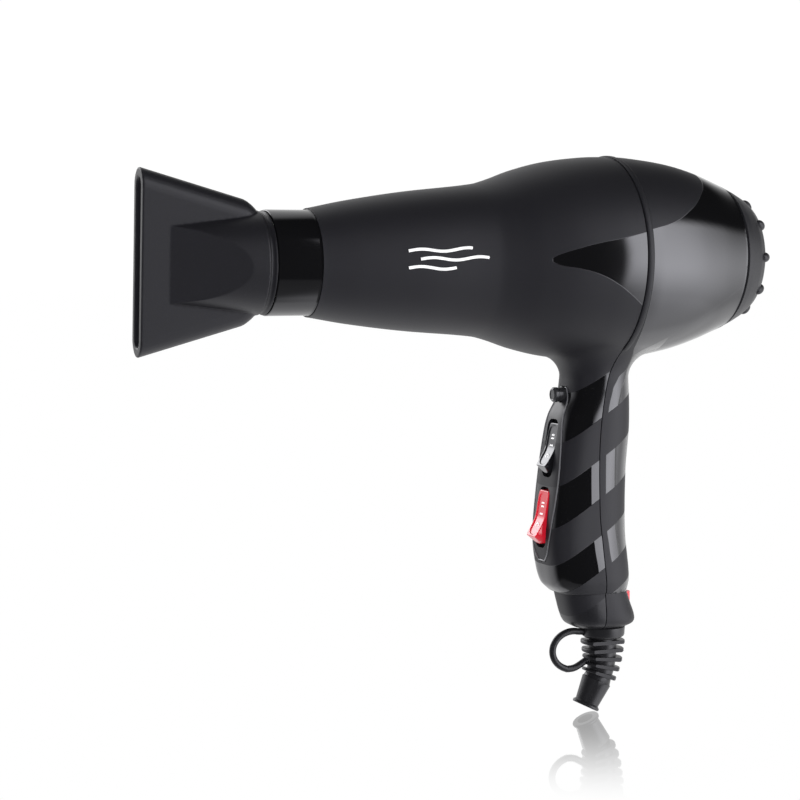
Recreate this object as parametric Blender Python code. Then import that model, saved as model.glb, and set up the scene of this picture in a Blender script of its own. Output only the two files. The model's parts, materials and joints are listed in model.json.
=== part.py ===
"""Hair dryer with a push-on concentrator nozzle, as the separate pieces it is assembled from.

Metres, +Z up. The barrel lies along X and blows towards -X, the handle hangs down, and the
origin is the middle of the hand grip. Coordinates below are written from the centre of the
seam between the two shells, and SEAM moves them into the object's frame.
"""

import math

import bmesh
import bpy
from mathutils import Matrix, Vector

# Driving dimensions
SEAM = Vector((0.0095, 0.0, 0.100))
GAP = 0.0003
WALL = 0.0022

BARREL_KEYS = (
    (-0.1355, 0.0226), (-0.1185, 0.0258), (-0.094, 0.02925), (-0.062, 0.0325), (-0.054, 0.0346),
    (-0.043, 0.0384), (-0.029, 0.0418), (-0.012, 0.0438), (0.0, 0.0441),
    (0.009, 0.0437), (0.0268, 0.0412), (0.0403, 0.0376), (0.0545, 0.0322),
)
BARREL_FRONT, BARREL_REAR = -0.1355, 0.0545
OUTLET_AXIS_Z, REAR_AXIS_Z = -0.0020, 0.0003
BEAD_WIDTH, BEAD_HEIGHT = 0.0028, 0.0006

HANDLE_TOP, HANDLE_LIP = -0.0508, -0.1462
HANDLE_FRONT_KEYS = (
    (-0.1462, -0.0212), (-0.1420, -0.0256), (-0.1315, -0.0281), (-0.1220, -0.0286),
    (-0.1030, -0.0268), (-0.0793, -0.0238), (-0.0688, -0.0220), (-0.0600, -0.0183),
    (-0.0508, -0.0174),
)
HANDLE_REAR_KEYS = (
    (-0.1462, 0.0112), (-0.1400, 0.0122), (-0.1190, 0.0100), (-0.0928, 0.0100),
    (-0.0718, 0.0116), (-0.0508, 0.0108),
)
HANDLE_WIDTH_KEYS = (
    (-0.1462, 0.0140), (-0.1400, 0.0157), (-0.1190, 0.0160), (-0.0797, 0.0155), (-0.0508, 0.0150),
)
FRONT_SQUARENESS_KEYS = (
    (-0.1620, 2.5), (-0.1462, 3.0), (-0.1300, 3.8), (-0.0800, 4.0), (-0.0600, 2.8), (-0.0508, 2.4),
)
REAR_SQUARENESS = 2.5
FLARE = ((-0.0330, 0.0140, 0.0090), (-0.0380, 0.0110, 0.0070), (-0.0420, 0.0055, 0.0040),
         (-0.0460, 0.0020, 0.0015))
BASE_RINGS = (
    (-0.1466, -0.0196, 0.0118, 0.0130), (-0.1510, -0.0187, 0.0130, 0.0132),
    (-0.1576, -0.0168, 0.0153, 0.0134), (-0.1604, -0.0152, 0.0148, 0.0122),
    (-0.1620, -0.0122, 0.0118, 0.0098),
)
PARTING_KEYS = (
    (-0.1700, -0.0030), (-0.1500, -0.0030), (-0.1250, -0.0059), (-0.1100, -0.0075),
    (-0.0800, -0.0075), (-0.0570, -0.0047), (-0.0400, 0.0),
)

PANEL_TOP, PANEL_BOTTOM, PANEL_THICKNESS = -0.0560, -0.1320, 0.0016
PANEL_WIDTH_KEYS = (
    (-0.1320, 0.0030), (-0.1280, 0.0068), (-0.1190, 0.0092), (-0.1000, 0.0110),
    (-0.0850, 0.0104), (-0.0720, 0.0086), (-0.0620, 0.0062), (-0.0560, 0.0030),
)

ROCKER_HALF_WIDTH, ROCKER_REST_TILT = 0.0049, math.radians(13)
HEAT_ROCKER_FACE, SPEED_ROCKER_FACE = 0.0054, 0.0064
ROCKER_PIVOT_DEPTH = 0.0046
ROCKER_PIN_RADIUS, ROCKER_PIN_CLEARANCE = 0.0009, 0.0001
HEAT_ROCKER_Z, HEAT_ROCKER_HALF = -0.0826, 0.0120
SPEED_ROCKER_Z, SPEED_ROCKER_HALF = -0.1128, 0.0125
SWITCH_DEPTH, SWITCH_HALF_WIDTH = 0.0140, 0.0066

BUTTON_Z, BUTTON_RADIUS, STEM_RADIUS, TAIL_RADIUS = -0.0594, 0.0031, 0.0026, 0.0016
BUTTON_FACE_X, BUTTON_SEAT_X, BUTTON_FLANGE_X = -0.0234, -0.0182, -0.0155

COLLAR_FRONT, COLLAR_RADIUS, COLLAR_BORE = -0.1540, 0.0219, 0.0204
SPIGOT_END, SPIGOT_RADIUS, SPIGOT_BORE = -0.1450, 0.0166, 0.0154
NOZZLE_MOUTH, NOZZLE_NECK = -0.2070, -0.1573
BLADE_HALF_THICKNESS, BLADE_MOUTH_HALF, BLADE_REAR_HALF = 0.0076, 0.0386, 0.0262
BLADE_REAR, NOZZLE_TURN = -0.1638, math.radians(5.5)
CONE_FRONT, CONE_FRONT_RADIUS, CONE_REAR_RADIUS = -0.1960, 0.0172, 0.0216

MOTOR_RADIUS, SHAFT_RADIUS, FAN_RADIUS = 0.0166, 0.0016, 0.0296
FAN_BLADES = 7
SHROUD_BORE = 0.0306
HEATER_AXIS_Z, SLEEVE_RADIUS, COIL_RADIUS = -0.0014, 0.0210, 0.0172

CORD_BORE = 0.0036
BOOT_X, BOOT_TOP_Z, BOOT_LENGTH = 0.0020, -0.1568, 0.0429
BOOT_BEND_Z, BOOT_BEND_RADIUS, BOOT_BEND_ANGLE = -0.1739, 0.0300, math.radians(26)


# Small tools
def clear_scene():
    for obj in list(bpy.data.objects):
        bpy.data.objects.remove(obj, do_unlink=True)


def curve_through(keys, at):
    """The value at one place of a smooth curve through (place, value) keys in rising order."""
    at = min(max(at, keys[0][0]), keys[-1][0])
    index = max(i for i in range(len(keys) - 1) if keys[i][0] <= at)
    (x0, y0), (x1, y1) = keys[index], keys[index + 1]
    slope = (y1 - y0) / (x1 - x0)
    before = slope if index == 0 else (y1 - keys[index - 1][1]) / (x1 - keys[index - 1][0])
    last = index + 2 == len(keys)
    after = slope if last else (keys[index + 2][1] - y0) / (keys[index + 2][0] - x0)
    t = (at - x0) / (x1 - x0)
    rise = (x1 - x0) * (t * (1 - t) ** 2 * before - t * t * (1 - t) * after)
    return y0 + (y1 - y0) * t * t * (3 - 2 * t) + rise


def spread(low, high, count):
    return [low + (high - low) * i / (count - 1) for i in range(count)]


def ring_x(x, radius, z=0.0, sides=32):
    angles = [2 * math.pi * i / sides for i in range(sides)]
    return [Vector((x, radius * math.cos(a), z + radius * math.sin(a))) for a in angles]


def ring_on(centre, direction, radius, sides):
    """A circle about a direction that lies in the XZ plane or along Y."""
    across = Vector((0, 1, 0)) if abs(direction.y) < 0.5 else Vector((0, 0, 1))
    other = direction.cross(across).normalized()
    angles = [2 * math.pi * (i + 0.5) / sides for i in range(sides)]
    return [centre + radius * (math.cos(a) * across + math.sin(a) * other) for a in angles]


def loft(rings, closed=False):
    """A skin over rings of equally many points, capped at both ends or joined end to end."""
    bm = bmesh.new()
    rows = [[bm.verts.new(point) for point in ring] for ring in rings]
    pairs = list(zip(rows, rows[1:]))
    if closed:
        pairs.append((rows[-1], rows[0]))
    for row, following in pairs:
        for i in range(len(row)):
            j = (i + 1) % len(row)
            bm.faces.new((row[i], row[j], following[j], following[i]))
    if not closed:
        bm.faces.new(rows[0])
        bm.faces.new(rows[-1])
    bmesh.ops.recalc_face_normals(bm, faces=bm.faces[:])
    return bm


def turned(profile, z=0.0, sides=32, hollow=False):
    """A piece turned about X from (x, radius) points; hollow ones give their whole outline."""
    return loft([ring_x(x, radius, z, sides) for x, radius in profile], closed=hollow)


def rod(start, end, radius, sides=16):
    start, end = Vector(start), Vector(end)
    direction = (end - start).normalized()
    return loft([ring_on(point, direction, radius, sides) for point in (start, end)])


def box(low, high):
    bm = bmesh.new()
    bmesh.ops.create_cube(bm, size=1.0)
    for vert in bm.verts:
        vert.co = Vector([low[i] if vert.co[i] < 0 else high[i] for i in range(3)])
    return bm


def prism(outline, axis, low, high):
    """An outline in the two other axes, in their order, carried from low to high along one axis."""
    def at(point, value):
        corner = list(point)
        corner.insert(axis, value)
        return Vector(corner)
    return loft([[at(point, value) for point in outline] for value in (low, high)])


def sweep(points, radius, sides=8, closed=False):
    """A round wire along points; its section keeps turning as little as the path allows."""
    points = [Vector(point) for point in points]
    count = len(points)
    rings = []
    normal = None
    for i, point in enumerate(points):
        before = points[i - 1] if closed or i else point
        after = points[(i + 1) % count] if closed or i + 1 < count else point
        direction = (after - before).normalized()
        if normal is None:
            normal = direction.orthogonal().normalized()
        normal = (normal - normal.dot(direction) * direction).normalized()
        side = direction.cross(normal)
        angles = [2 * math.pi * k / sides for k in range(sides)]
        rings.append([point + radius * (math.cos(a) * normal + math.sin(a) * side) for a in angles])
    return loft(rings, closed)


def moved(bm, matrix):
    bm.transform(matrix)
    return bm


def combined(base, tool, operation):
    """The Boolean of two solids as a new one; both inputs are used up."""
    holders = []
    for bm in (base, tool):
        mesh = bpy.data.meshes.new("operand")
        bm.to_mesh(mesh)
        bm.free()
        holder = bpy.data.objects.new("operand", mesh)
        bpy.context.scene.collection.objects.link(holder)
        holders.append(holder)
    modifier = holders[0].modifiers.new("combine", "BOOLEAN")
    modifier.operation = operation
    modifier.solver = "EXACT"
    modifier.object = holders[1]
    result = bmesh.new()
    result.from_object(holders[0], bpy.context.evaluated_depsgraph_get())
    for holder in holders:
        bpy.data.meshes.remove(holder.data, do_unlink=True)
    return result


def union(base, *tools):
    for tool in tools:
        base = combined(base, tool, "UNION")
    return base


def minus(base, *tools):
    for tool in tools:
        base = combined(base, tool, "DIFFERENCE")
    return base


def common(base, tool):
    return combined(base, tool, "INTERSECT")


def material(name, colour, roughness, metallic=0.0):
    made = bpy.data.materials.get(name)
    if made is None:
        made = bpy.data.materials.new(name)
        made.use_nodes = True
        shader = made.node_tree.nodes["Principled BSDF"]
        shader.inputs["Base Color"].default_value = (*colour, 1.0)
        shader.inputs["Roughness"].default_value = roughness
        shader.inputs["Metallic"].default_value = metallic
    return made


MATTE_BLACK = ("matte_black", (0.030, 0.030, 0.033), 0.48)
GLOSS_BLACK = ("gloss_black", (0.012, 0.012, 0.013), 0.10)
GRILLE_GREY = ("grille_grey", (0.045, 0.045, 0.048), 0.50)
RED_PLASTIC = ("red_plastic", (0.62, 0.012, 0.030), 0.15)
RUBBER_BLACK = ("rubber_black", (0.022, 0.022, 0.023), 0.60)
MICA = ("mica", (0.52, 0.43, 0.30), 0.45)
NICHROME = ("nichrome", (0.45, 0.43, 0.41), 0.35, 1.0)
STEEL = ("steel", (0.60, 0.60, 0.61), 0.28, 1.0)
COPPER = ("copper", (0.72, 0.38, 0.22), 0.30, 1.0)
BRONZE = ("bronze", (0.48, 0.33, 0.16), 0.35, 1.0)
CARBON = ("carbon", (0.020, 0.020, 0.020), 0.70)
NYLON = ("nylon", (0.62, 0.60, 0.55), 0.50)
CERAMIC = ("ceramic", (0.80, 0.78, 0.73), 0.40)
CABLE_GREY = ("cable_grey", (0.18, 0.19, 0.21), 0.50)


def piece(name, bm, finish, origin=(0.0, 0.0, 0.0)):
    """Makes a named object of a solid, with its origin at a point given from the seam's centre."""
    origin = Vector(origin)
    bm.transform(Matrix.Translation(-origin))
    mesh = bpy.data.meshes.new(name)
    bm.to_mesh(mesh)
    bm.free()
    mesh.shade_smooth()
    mesh.set_sharp_from_angle(angle=math.radians(35))
    mesh.materials.append(material(*finish))
    obj = bpy.data.objects.new(name, mesh)
    obj.location = SEAM + origin
    bpy.context.scene.collection.objects.link(obj)
    return obj


# Shells
def barrel_axis_z(x):
    """The barrel's centre line falls slightly from the fan to the outlet."""
    start, end = BARREL_FRONT, 0.040
    share = min(max((x - start) / (end - start), 0.0), 1.0)
    return OUTLET_AXIS_Z + (REAR_AXIS_Z - OUTLET_AXIS_Z) * share


def barrel_form():
    places = spread(BARREL_FRONT, -0.062, 4) + spread(-0.056, -0.008, 6)
    places += [0.0] + spread(BEAD_WIDTH, BARREL_REAR, 6)
    return loft([ring_x(x, curve_through(BARREL_KEYS, x), barrel_axis_z(x)) for x in places])


def barrel_hollow():
    places = [BARREL_FRONT, -0.100, -0.062, -0.048, -0.034, -0.016, 0.002, 0.020, 0.038, BARREL_REAR]
    rings = [(x, curve_through(BARREL_KEYS, x) - WALL) for x in places]
    rings = [(BARREL_FRONT - 0.006, rings[0][1])] + rings + [(BARREL_REAR + 0.006, rings[-1][1])]
    return loft([ring_x(x, radius, barrel_axis_z(x)) for x, radius in rings])


def seam_bead():
    low, high = curve_through(BARREL_KEYS, 0) - WALL / 2, curve_through(BARREL_KEYS, 0) + BEAD_HEIGHT
    outline = [(0.0, low), (0.0, high), (BEAD_WIDTH * 0.8, high), (BEAD_WIDTH, low)]
    return turned(outline, barrel_axis_z(0), hollow=True)


def oval(front, rear, half_width, z, sides=22):
    """A section of the handle: a squared-off oval, flatter in front than behind."""
    centre, half = (front + rear) / 2, (rear - front) / 2
    points = []
    for i in range(sides):
        angle = 2 * math.pi * i / sides
        in_front = math.cos(angle) < -0.001
        power = 2 / (curve_through(FRONT_SQUARENESS_KEYS, z) if in_front else REAR_SQUARENESS)
        along = math.copysign(abs(math.cos(angle)) ** power, math.cos(angle))
        across = math.copysign(abs(math.sin(angle)) ** power, math.sin(angle))
        points.append(Vector((centre + half * along, half_width * across, z)))
    return points


def handle_ring(z, grow_x=0.0, grow_y=0.0):
    front = curve_through(HANDLE_FRONT_KEYS, z) - grow_x
    rear = curve_through(HANDLE_REAR_KEYS, z) + grow_x
    return oval(front, rear, curve_through(HANDLE_WIDTH_KEYS, z) + grow_y, z)


def handle_form():
    rings = [handle_ring(z, grow_x, grow_y) for z, grow_x, grow_y in FLARE]
    rings += [handle_ring(z) for z in spread(HANDLE_TOP, -0.1380, 8)]
    rings += [handle_ring(z) for z in (-0.1425, HANDLE_LIP + 0.0008)]
    rings.append(handle_ring(HANDLE_LIP, -0.0008, -0.0008))
    rings += [oval(front, rear, half_width, z) for z, front, rear, half_width in BASE_RINGS]
    return loft(rings)


def handle_core(inset, low, high):
    """The handle's straight part drawn in by an inset, between two heights."""
    heights = [z for z in spread(HANDLE_TOP, -0.1380, 9) if low < z < high]
    rings = [handle_ring(z, -inset, -inset) for z in [high] + heights + [low]]
    return loft(rings)


def handle_hollow():
    rings = [handle_ring(z, -WALL, -WALL) for z in (-0.0300, HANDLE_TOP, *spread(-0.065, -0.1380, 5))]
    rings.append(oval(-0.0175, 0.0090, 0.0105, -0.1462))
    rings.append(oval(-0.0150, 0.0105, 0.0105, -0.1560))
    rings.append(oval(-0.0132, 0.0105, 0.0095, -0.1594))
    return loft(rings)


def parting_half(side):
    """A block on one side of the parting face: -1 in front, 1 behind."""
    edge = [(x + side * GAP / 2, z) for z, x in PARTING_KEYS] + [(side * GAP / 2, 0.060)]
    far = side * 0.200
    return prism(edge + [(far, 0.060), (far, -0.1700)], 1, -0.060, 0.060)


def panel_outline(grow=0.0):
    heights = spread(PANEL_BOTTOM - grow, PANEL_TOP + grow, 15)
    right = [(curve_through(PANEL_WIDTH_KEYS, z) + grow, z) for z in heights]
    return right + [(-y, z) for y, z in reversed(right)]


SCREW_HEIGHTS = {"upper": -0.0470, "lower": -0.1390}
BOSS_RADIUS = 0.0036
SCREW_HEAD_X, SCREW_TIP_X = 0.0052, -0.0130
CLAMP_Z, CLAMP_SCREW_Y = -0.1475, 0.0070
LENS_LOW, LENS_HIGH, LENS_HALF_WIDTH = -0.1518, -0.1472, 0.0024


def make_shells():
    body = union(barrel_form(), handle_form(), seam_bead())
    hollow = union(barrel_hollow(), handle_hollow())
    body = minus(body, hollow)
    for z in SCREW_HEIGHTS.values():
        front = max(curve_through(HANDLE_FRONT_KEYS, z + side * BOSS_RADIUS) for side in (-1, 1))
        rear = min(curve_through(HANDLE_REAR_KEYS, z + side * BOSS_RADIUS) for side in (-1, 1))
        body = union(body, rod((front + WALL / 4, 0, z), (rear - WALL / 4, 0, z), BOSS_RADIUS))
        body = minus(body, rod((SCREW_TIP_X, 0, z), (0.020, 0, z), 0.0016))
        body = minus(body, rod((SCREW_HEAD_X, 0, z), (0.022, 0, z), 0.0030))
    body = minus(body, prism(panel_outline(GAP), 0, -0.050, -0.012))
    body = minus(body, rod((BOOT_X, 0, -0.170), (BOOT_X, 0, -0.150), 0.0066, 20))
    body = minus(body, box((0.006, -LENS_HALF_WIDTH - GAP, LENS_LOW - GAP),
                           (0.020, LENS_HALF_WIDTH + GAP, LENS_HIGH + GAP)))
    front = common(body.copy(), parting_half(-1))
    rear = common(body, parting_half(1))
    for side in (-1, 1):
        y = side * CLAMP_SCREW_Y
        rear = union(rear, rod((-0.0012, y, CLAMP_Z), (0.0100, y, CLAMP_Z), 0.0026, 12))
        rear = minus(rear, rod((-0.0030, y, CLAMP_Z), (0.0070, y, CLAMP_Z), 0.0013, 10))
    piece("front_shell", front, MATTE_BLACK)
    piece("rear_shell", rear, GLOSS_BLACK)


def make_handle_screws():
    for label, z in SCREW_HEIGHTS.items():
        head = rod((SCREW_HEAD_X + GAP, 0, z), (SCREW_HEAD_X + 0.0022, 0, z), 0.0026)
        shank = rod((SCREW_TIP_X + 0.0010, 0, z), (SCREW_HEAD_X + 0.0010, 0, z), 0.0013, 12)
        screw = union(head, shank)
        slot = box((SCREW_HEAD_X + 0.0014, -0.0020, z - 0.0004), (0.020, 0.0020, z + 0.0004))
        piece(f"handle_screw_{label}", minus(screw, slot), STEEL)


# Outlet and nozzle
def make_outlet():
    outline = (
        (COLLAR_FRONT, COLLAR_RADIUS - 0.0004), (COLLAR_FRONT + 0.0004, COLLAR_RADIUS),
        (BARREL_FRONT - GAP, COLLAR_RADIUS), (BARREL_FRONT - GAP, 0.0201), (-0.1250, 0.0201),
        (-0.1250, 0.0187), (-0.1370, 0.0187), (-0.1370, COLLAR_BORE), (COLLAR_FRONT, COLLAR_BORE),
    )
    piece("outlet_collar", turned(outline, OUTLET_AXIS_Z, hollow=True), GLOSS_BLACK)
    low, high = -0.1320, -0.1306
    grille = turned(((low, 0.0180), (high, 0.0180), (high, 0.0166), (low, 0.0166)),
                    OUTLET_AXIS_Z, 24, hollow=True)
    inner = turned(((low, 0.0098), (high, 0.0098), (high, 0.0088), (low, 0.0088)),
                   OUTLET_AXIS_Z, 16, hollow=True)
    hub = turned(((low, 0.0030), (high, 0.0030)), OUTLET_AXIS_Z, 10)
    grille = union(grille, inner, hub)
    for i in range(3):
        bar = box((low + 0.0001, -0.0172, -0.0006), (high - 0.0001, 0.0172, 0.0006))
        turn = Matrix.Translation((0, 0, OUTLET_AXIS_Z)) @ Matrix.Rotation(i * math.pi / 3, 4, "X")
        grille = union(grille, moved(bar, turn))
    piece("outlet_grille", grille, STEEL)


def stadium(x, half_height, half_thickness, z=OUTLET_AXIS_Z, steps=5):
    """A flat section of the nozzle with half-round ends."""
    points = []
    for end in (1, -1):
        for i in range(steps + 1):
            angle = math.pi * i / steps
            along = end * (half_height - half_thickness + half_thickness * math.sin(angle))
            points.append(Vector((x, end * half_thickness * math.cos(angle), z + along)))
    return points


def nozzle_form(inset, mouth):
    """Flat blade joined to a cone that slanting facets run down to the blade's sides."""
    half_thickness = BLADE_HALF_THICKNESS - inset
    slope = (BLADE_MOUTH_HALF - BLADE_REAR_HALF) / (NOZZLE_MOUTH - BLADE_REAR)
    mouth_half = BLADE_MOUTH_HALF + slope * (mouth - NOZZLE_MOUTH) - inset
    rings = [stadium(mouth, mouth_half, half_thickness)]
    for back, lower in ((0.0, 0.0), (0.0029, 0.0016), (0.0051, 0.0037), (0.0063, 0.0057)):
        rings.append(stadium(BLADE_REAR + back, BLADE_REAR_HALF - lower - inset, half_thickness))
    blade = loft(rings)
    spread_rate = (CONE_REAR_RADIUS - CONE_FRONT_RADIUS) / (NOZZLE_NECK - CONE_FRONT)
    lead = 0.006
    cone = loft([
        ring_x(CONE_FRONT - lead, CONE_FRONT_RADIUS - lead * spread_rate - inset, OUTLET_AXIS_Z),
        ring_x(NOZZLE_NECK, CONE_REAR_RADIUS - inset, OUTLET_AXIS_Z),
    ])
    rear, edge = NOZZLE_NECK + 0.010, half_thickness - 0.0004
    facet = (0.0215 - BLADE_HALF_THICKNESS) / (BLADE_REAR - CONE_FRONT)
    far = edge + facet * (rear - CONE_FRONT)
    outline = [(CONE_FRONT - lead, -edge), (CONE_FRONT, -edge), (rear, -far),
               (rear, far), (CONE_FRONT, edge), (CONE_FRONT - lead, edge)]
    return union(blade, common(cone, prism(outline, 2, -0.05, 0.05)))


def make_nozzle():
    outer = nozzle_form(0.0, NOZZLE_MOUTH)
    flange = turned(((NOZZLE_NECK - 0.0010, 0.0208), (NOZZLE_NECK, 0.0214),
                     (COLLAR_FRONT - GAP, 0.0214)), OUTLET_AXIS_Z)
    outer = union(outer, flange)
    passage = union(nozzle_form(0.0026, NOZZLE_MOUTH + 0.0060),
                    loft([stadium(NOZZLE_MOUTH - 0.001, BLADE_MOUTH_HALF - 0.0036, 0.0040),
                          stadium(NOZZLE_MOUTH + 0.0090, BLADE_MOUTH_HALF - 0.0064, 0.0040)]),
                    turned(((NOZZLE_NECK - 0.0020, SPIGOT_RADIUS + GAP), (-0.1400, SPIGOT_RADIUS + GAP)),
                           OUTLET_AXIS_Z))
    axis = (COLLAR_FRONT, 0, OUTLET_AXIS_Z)
    spigot = turned(((NOZZLE_NECK, SPIGOT_RADIUS), (SPIGOT_END, SPIGOT_RADIUS), (SPIGOT_END, SPIGOT_BORE),
                     (NOZZLE_NECK, SPIGOT_BORE)), OUTLET_AXIS_Z, hollow=True)
    piece("nozzle_spigot", spigot, MATTE_BLACK, axis)
    low, high, inner = COLLAR_FRONT + GAP, SPIGOT_END + GAP, SPIGOT_RADIUS + GAP
    ring = turned(((low, 0.0201), (high, 0.0201), (high, inner), (low, inner)), OUTLET_AXIS_Z, hollow=True)
    piece("nozzle_lock_ring", ring, NYLON, axis)
    nozzle = moved(minus(outer, passage), Matrix.Translation((0, 0, -OUTLET_AXIS_Z)))
    turn = Matrix.Translation((0, 0, OUTLET_AXIS_Z)) @ Matrix.Rotation(NOZZLE_TURN, 4, "X")
    piece("concentrator_nozzle", moved(nozzle, turn), MATTE_BLACK, axis)


# Heater
def make_heater():
    z = HEATER_AXIS_Z
    sleeve = ((-0.1180, SLEEVE_RADIUS), (-0.0420, SLEEVE_RADIUS),
              (-0.0420, SLEEVE_RADIUS - 0.0006), (-0.1180, SLEEVE_RADIUS - 0.0006))
    piece("mica_sleeve", turned(sleeve, z, 28, hollow=True), MICA)
    half = 0.0152
    cross = union(box((-0.1140, -half, z - 0.0004), (-0.0460, half, z + 0.0004)),
                  box((-0.1138, -0.0004, z - half), (-0.0462, 0.0004, z + half)))
    piece("mica_cross", cross, MICA)
    turns, points_per_turn = 8, 10
    start, end = -0.1080, -0.0520
    steps = turns * points_per_turn
    path = []
    for i in range(steps + 1):
        angle = 2 * math.pi * i / points_per_turn
        x = start + (end - start) * i / steps
        path.append((x, COIL_RADIUS * math.cos(angle), z + COIL_RADIUS * math.sin(angle)))
    piece("heating_coil", sweep(path, 0.0006, 4), NICHROME)
    piece("thermostat", rod((-0.0640, 0.0065, z + 0.0065), (-0.0600, 0.0065, z + 0.0065), 0.0050, 16),
          CERAMIC)
    piece("thermal_fuse", rod((-0.0660, -0.0065, z + 0.0065), (-0.0540, -0.0065, z + 0.0065), 0.0018, 12),
          STEEL)


# Motor and fan
def make_motor():
    z = REAR_AXIS_Z
    inner = MOTOR_RADIUS - 0.0012
    can = ((-0.0200, MOTOR_RADIUS), (0.0240, MOTOR_RADIUS), (0.0240, 0.0046), (0.0200, 0.0046),
           (0.0200, 0.0060), (0.0228, inner), (-0.0200, inner))
    piece("motor_can", turned(can, z, 28, hollow=True), STEEL)
    bell = ((-0.0240, 0.0046), (-0.0240, MOTOR_RADIUS), (-0.0203, MOTOR_RADIUS),
            (-0.0203, inner - GAP), (-0.0186, inner - GAP), (-0.0186, 0.0046))
    piece("motor_end_bell", turned(bell, z, 28, hollow=True), NYLON)
    for name, low in (("front_bearing", -0.0230), ("rear_bearing", 0.0206)):
        outline = ((low, 0.0045), (low + 0.0030, 0.0045), (low + 0.0030, SHAFT_RADIUS + 0.00006),
                   (low, SHAFT_RADIUS + 0.00006))
        piece(name, turned(outline, z, 18, hollow=True), BRONZE)
    core = ((-0.0120, inner - GAP), (0.0120, inner - GAP), (0.0120, 0.0115), (-0.0120, 0.0115))
    piece("field_core", turned(core, z, 28, hollow=True), STEEL)
    for name, side in (("brush_left", -1), ("brush_right", 1)):
        low, high = sorted((side * 0.0050, side * 0.0110))
        piece(name, box((-0.0168, low, z - 0.0020), (-0.0132, high, z + 0.0020)), CARBON)


def make_rotor():
    z = REAR_AXIS_Z
    centre = (0, 0, z)
    piece("rotor_shaft", turned(((-0.0265, SHAFT_RADIUS), (0.0425, SHAFT_RADIUS)), z, 18), STEEL, centre)
    teeth = 12
    section = []
    for i in range(teeth):
        for share, radius in ((0.0, 0.0108), (0.55, 0.0108), (0.60, 0.0082), (0.95, 0.0082)):
            angle = 2 * math.pi * (i + share) / teeth
            section.append((radius * math.cos(angle), z + radius * math.sin(angle)))
    bore = SHAFT_RADIUS + 0.0001
    core = minus(prism(section, 0, -0.0110, 0.0110), rod((-0.02, 0, z), (0.02, 0, z), bore, 18))
    piece("armature", core, COPPER, centre)
    commutator = ((-0.0175, 0.0046), (-0.0125, 0.0046), (-0.0125, bore), (-0.0175, bore))
    piece("commutator", turned(commutator, z, 18, hollow=True), COPPER, centre)
    hub = turned(((0.0300, 0.0100), (0.0400, 0.0120), (0.0440, 0.0120), (0.0440, bore), (0.0300, bore)),
                 z, 24, hollow=True)
    for i in range(FAN_BLADES):
        rings = []
        for radius, pitch in ((0.0112, 40), (0.0200, 52), (FAN_RADIUS - 0.0005, 62)):
            lean = math.radians(pitch)
            along = Vector((math.cos(lean), math.sin(lean), 0)) * 0.0062 / math.cos(lean) ** 0.5
            thick = Vector((-math.sin(lean), math.cos(lean), 0)) * 0.0006
            middle = Vector((0.0370, 0, radius))
            rings.append([middle - along - thick, middle + along - thick,
                          middle + along + thick, middle - along + thick])
        turn = Matrix.Translation(centre) @ Matrix.Rotation(2 * math.pi * i / FAN_BLADES, 4, "X")
        hub = union(hub, moved(loft(rings), turn))
    hub = common(hub, turned(((0.0296, FAN_RADIUS), (0.0445, FAN_RADIUS)), z, 42))
    piece("fan_impeller", hub, NYLON, centre)


def make_shroud():
    z = REAR_AXIS_Z
    outline = ((0.0100, 0.0394), (0.0118, 0.0394), (0.0118, 0.0322), (0.0465, 0.0322),
               (0.0465, SHROUD_BORE), (0.0100, SHROUD_BORE))
    shroud = turned(outline, z, 30, hollow=True)
    cup = turned(((0.0020, 0.0184), (0.0240, 0.0184), (0.0240, MOTOR_RADIUS + GAP),
                  (0.0020, MOTOR_RADIUS + GAP * 2)), z, 28, hollow=True)
    shroud = union(shroud, cup)
    for i in range(6):
        vane = box((0.0120, -0.0008, 0.0178), (0.0236, 0.0008, 0.0312))
        turn = Matrix.Translation((0, 0, z)) @ Matrix.Rotation((i + 0.5) * math.pi / 3, 4, "X")
        shroud = union(shroud, moved(vane, turn))
    piece("fan_shroud", shroud, NYLON)


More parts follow.
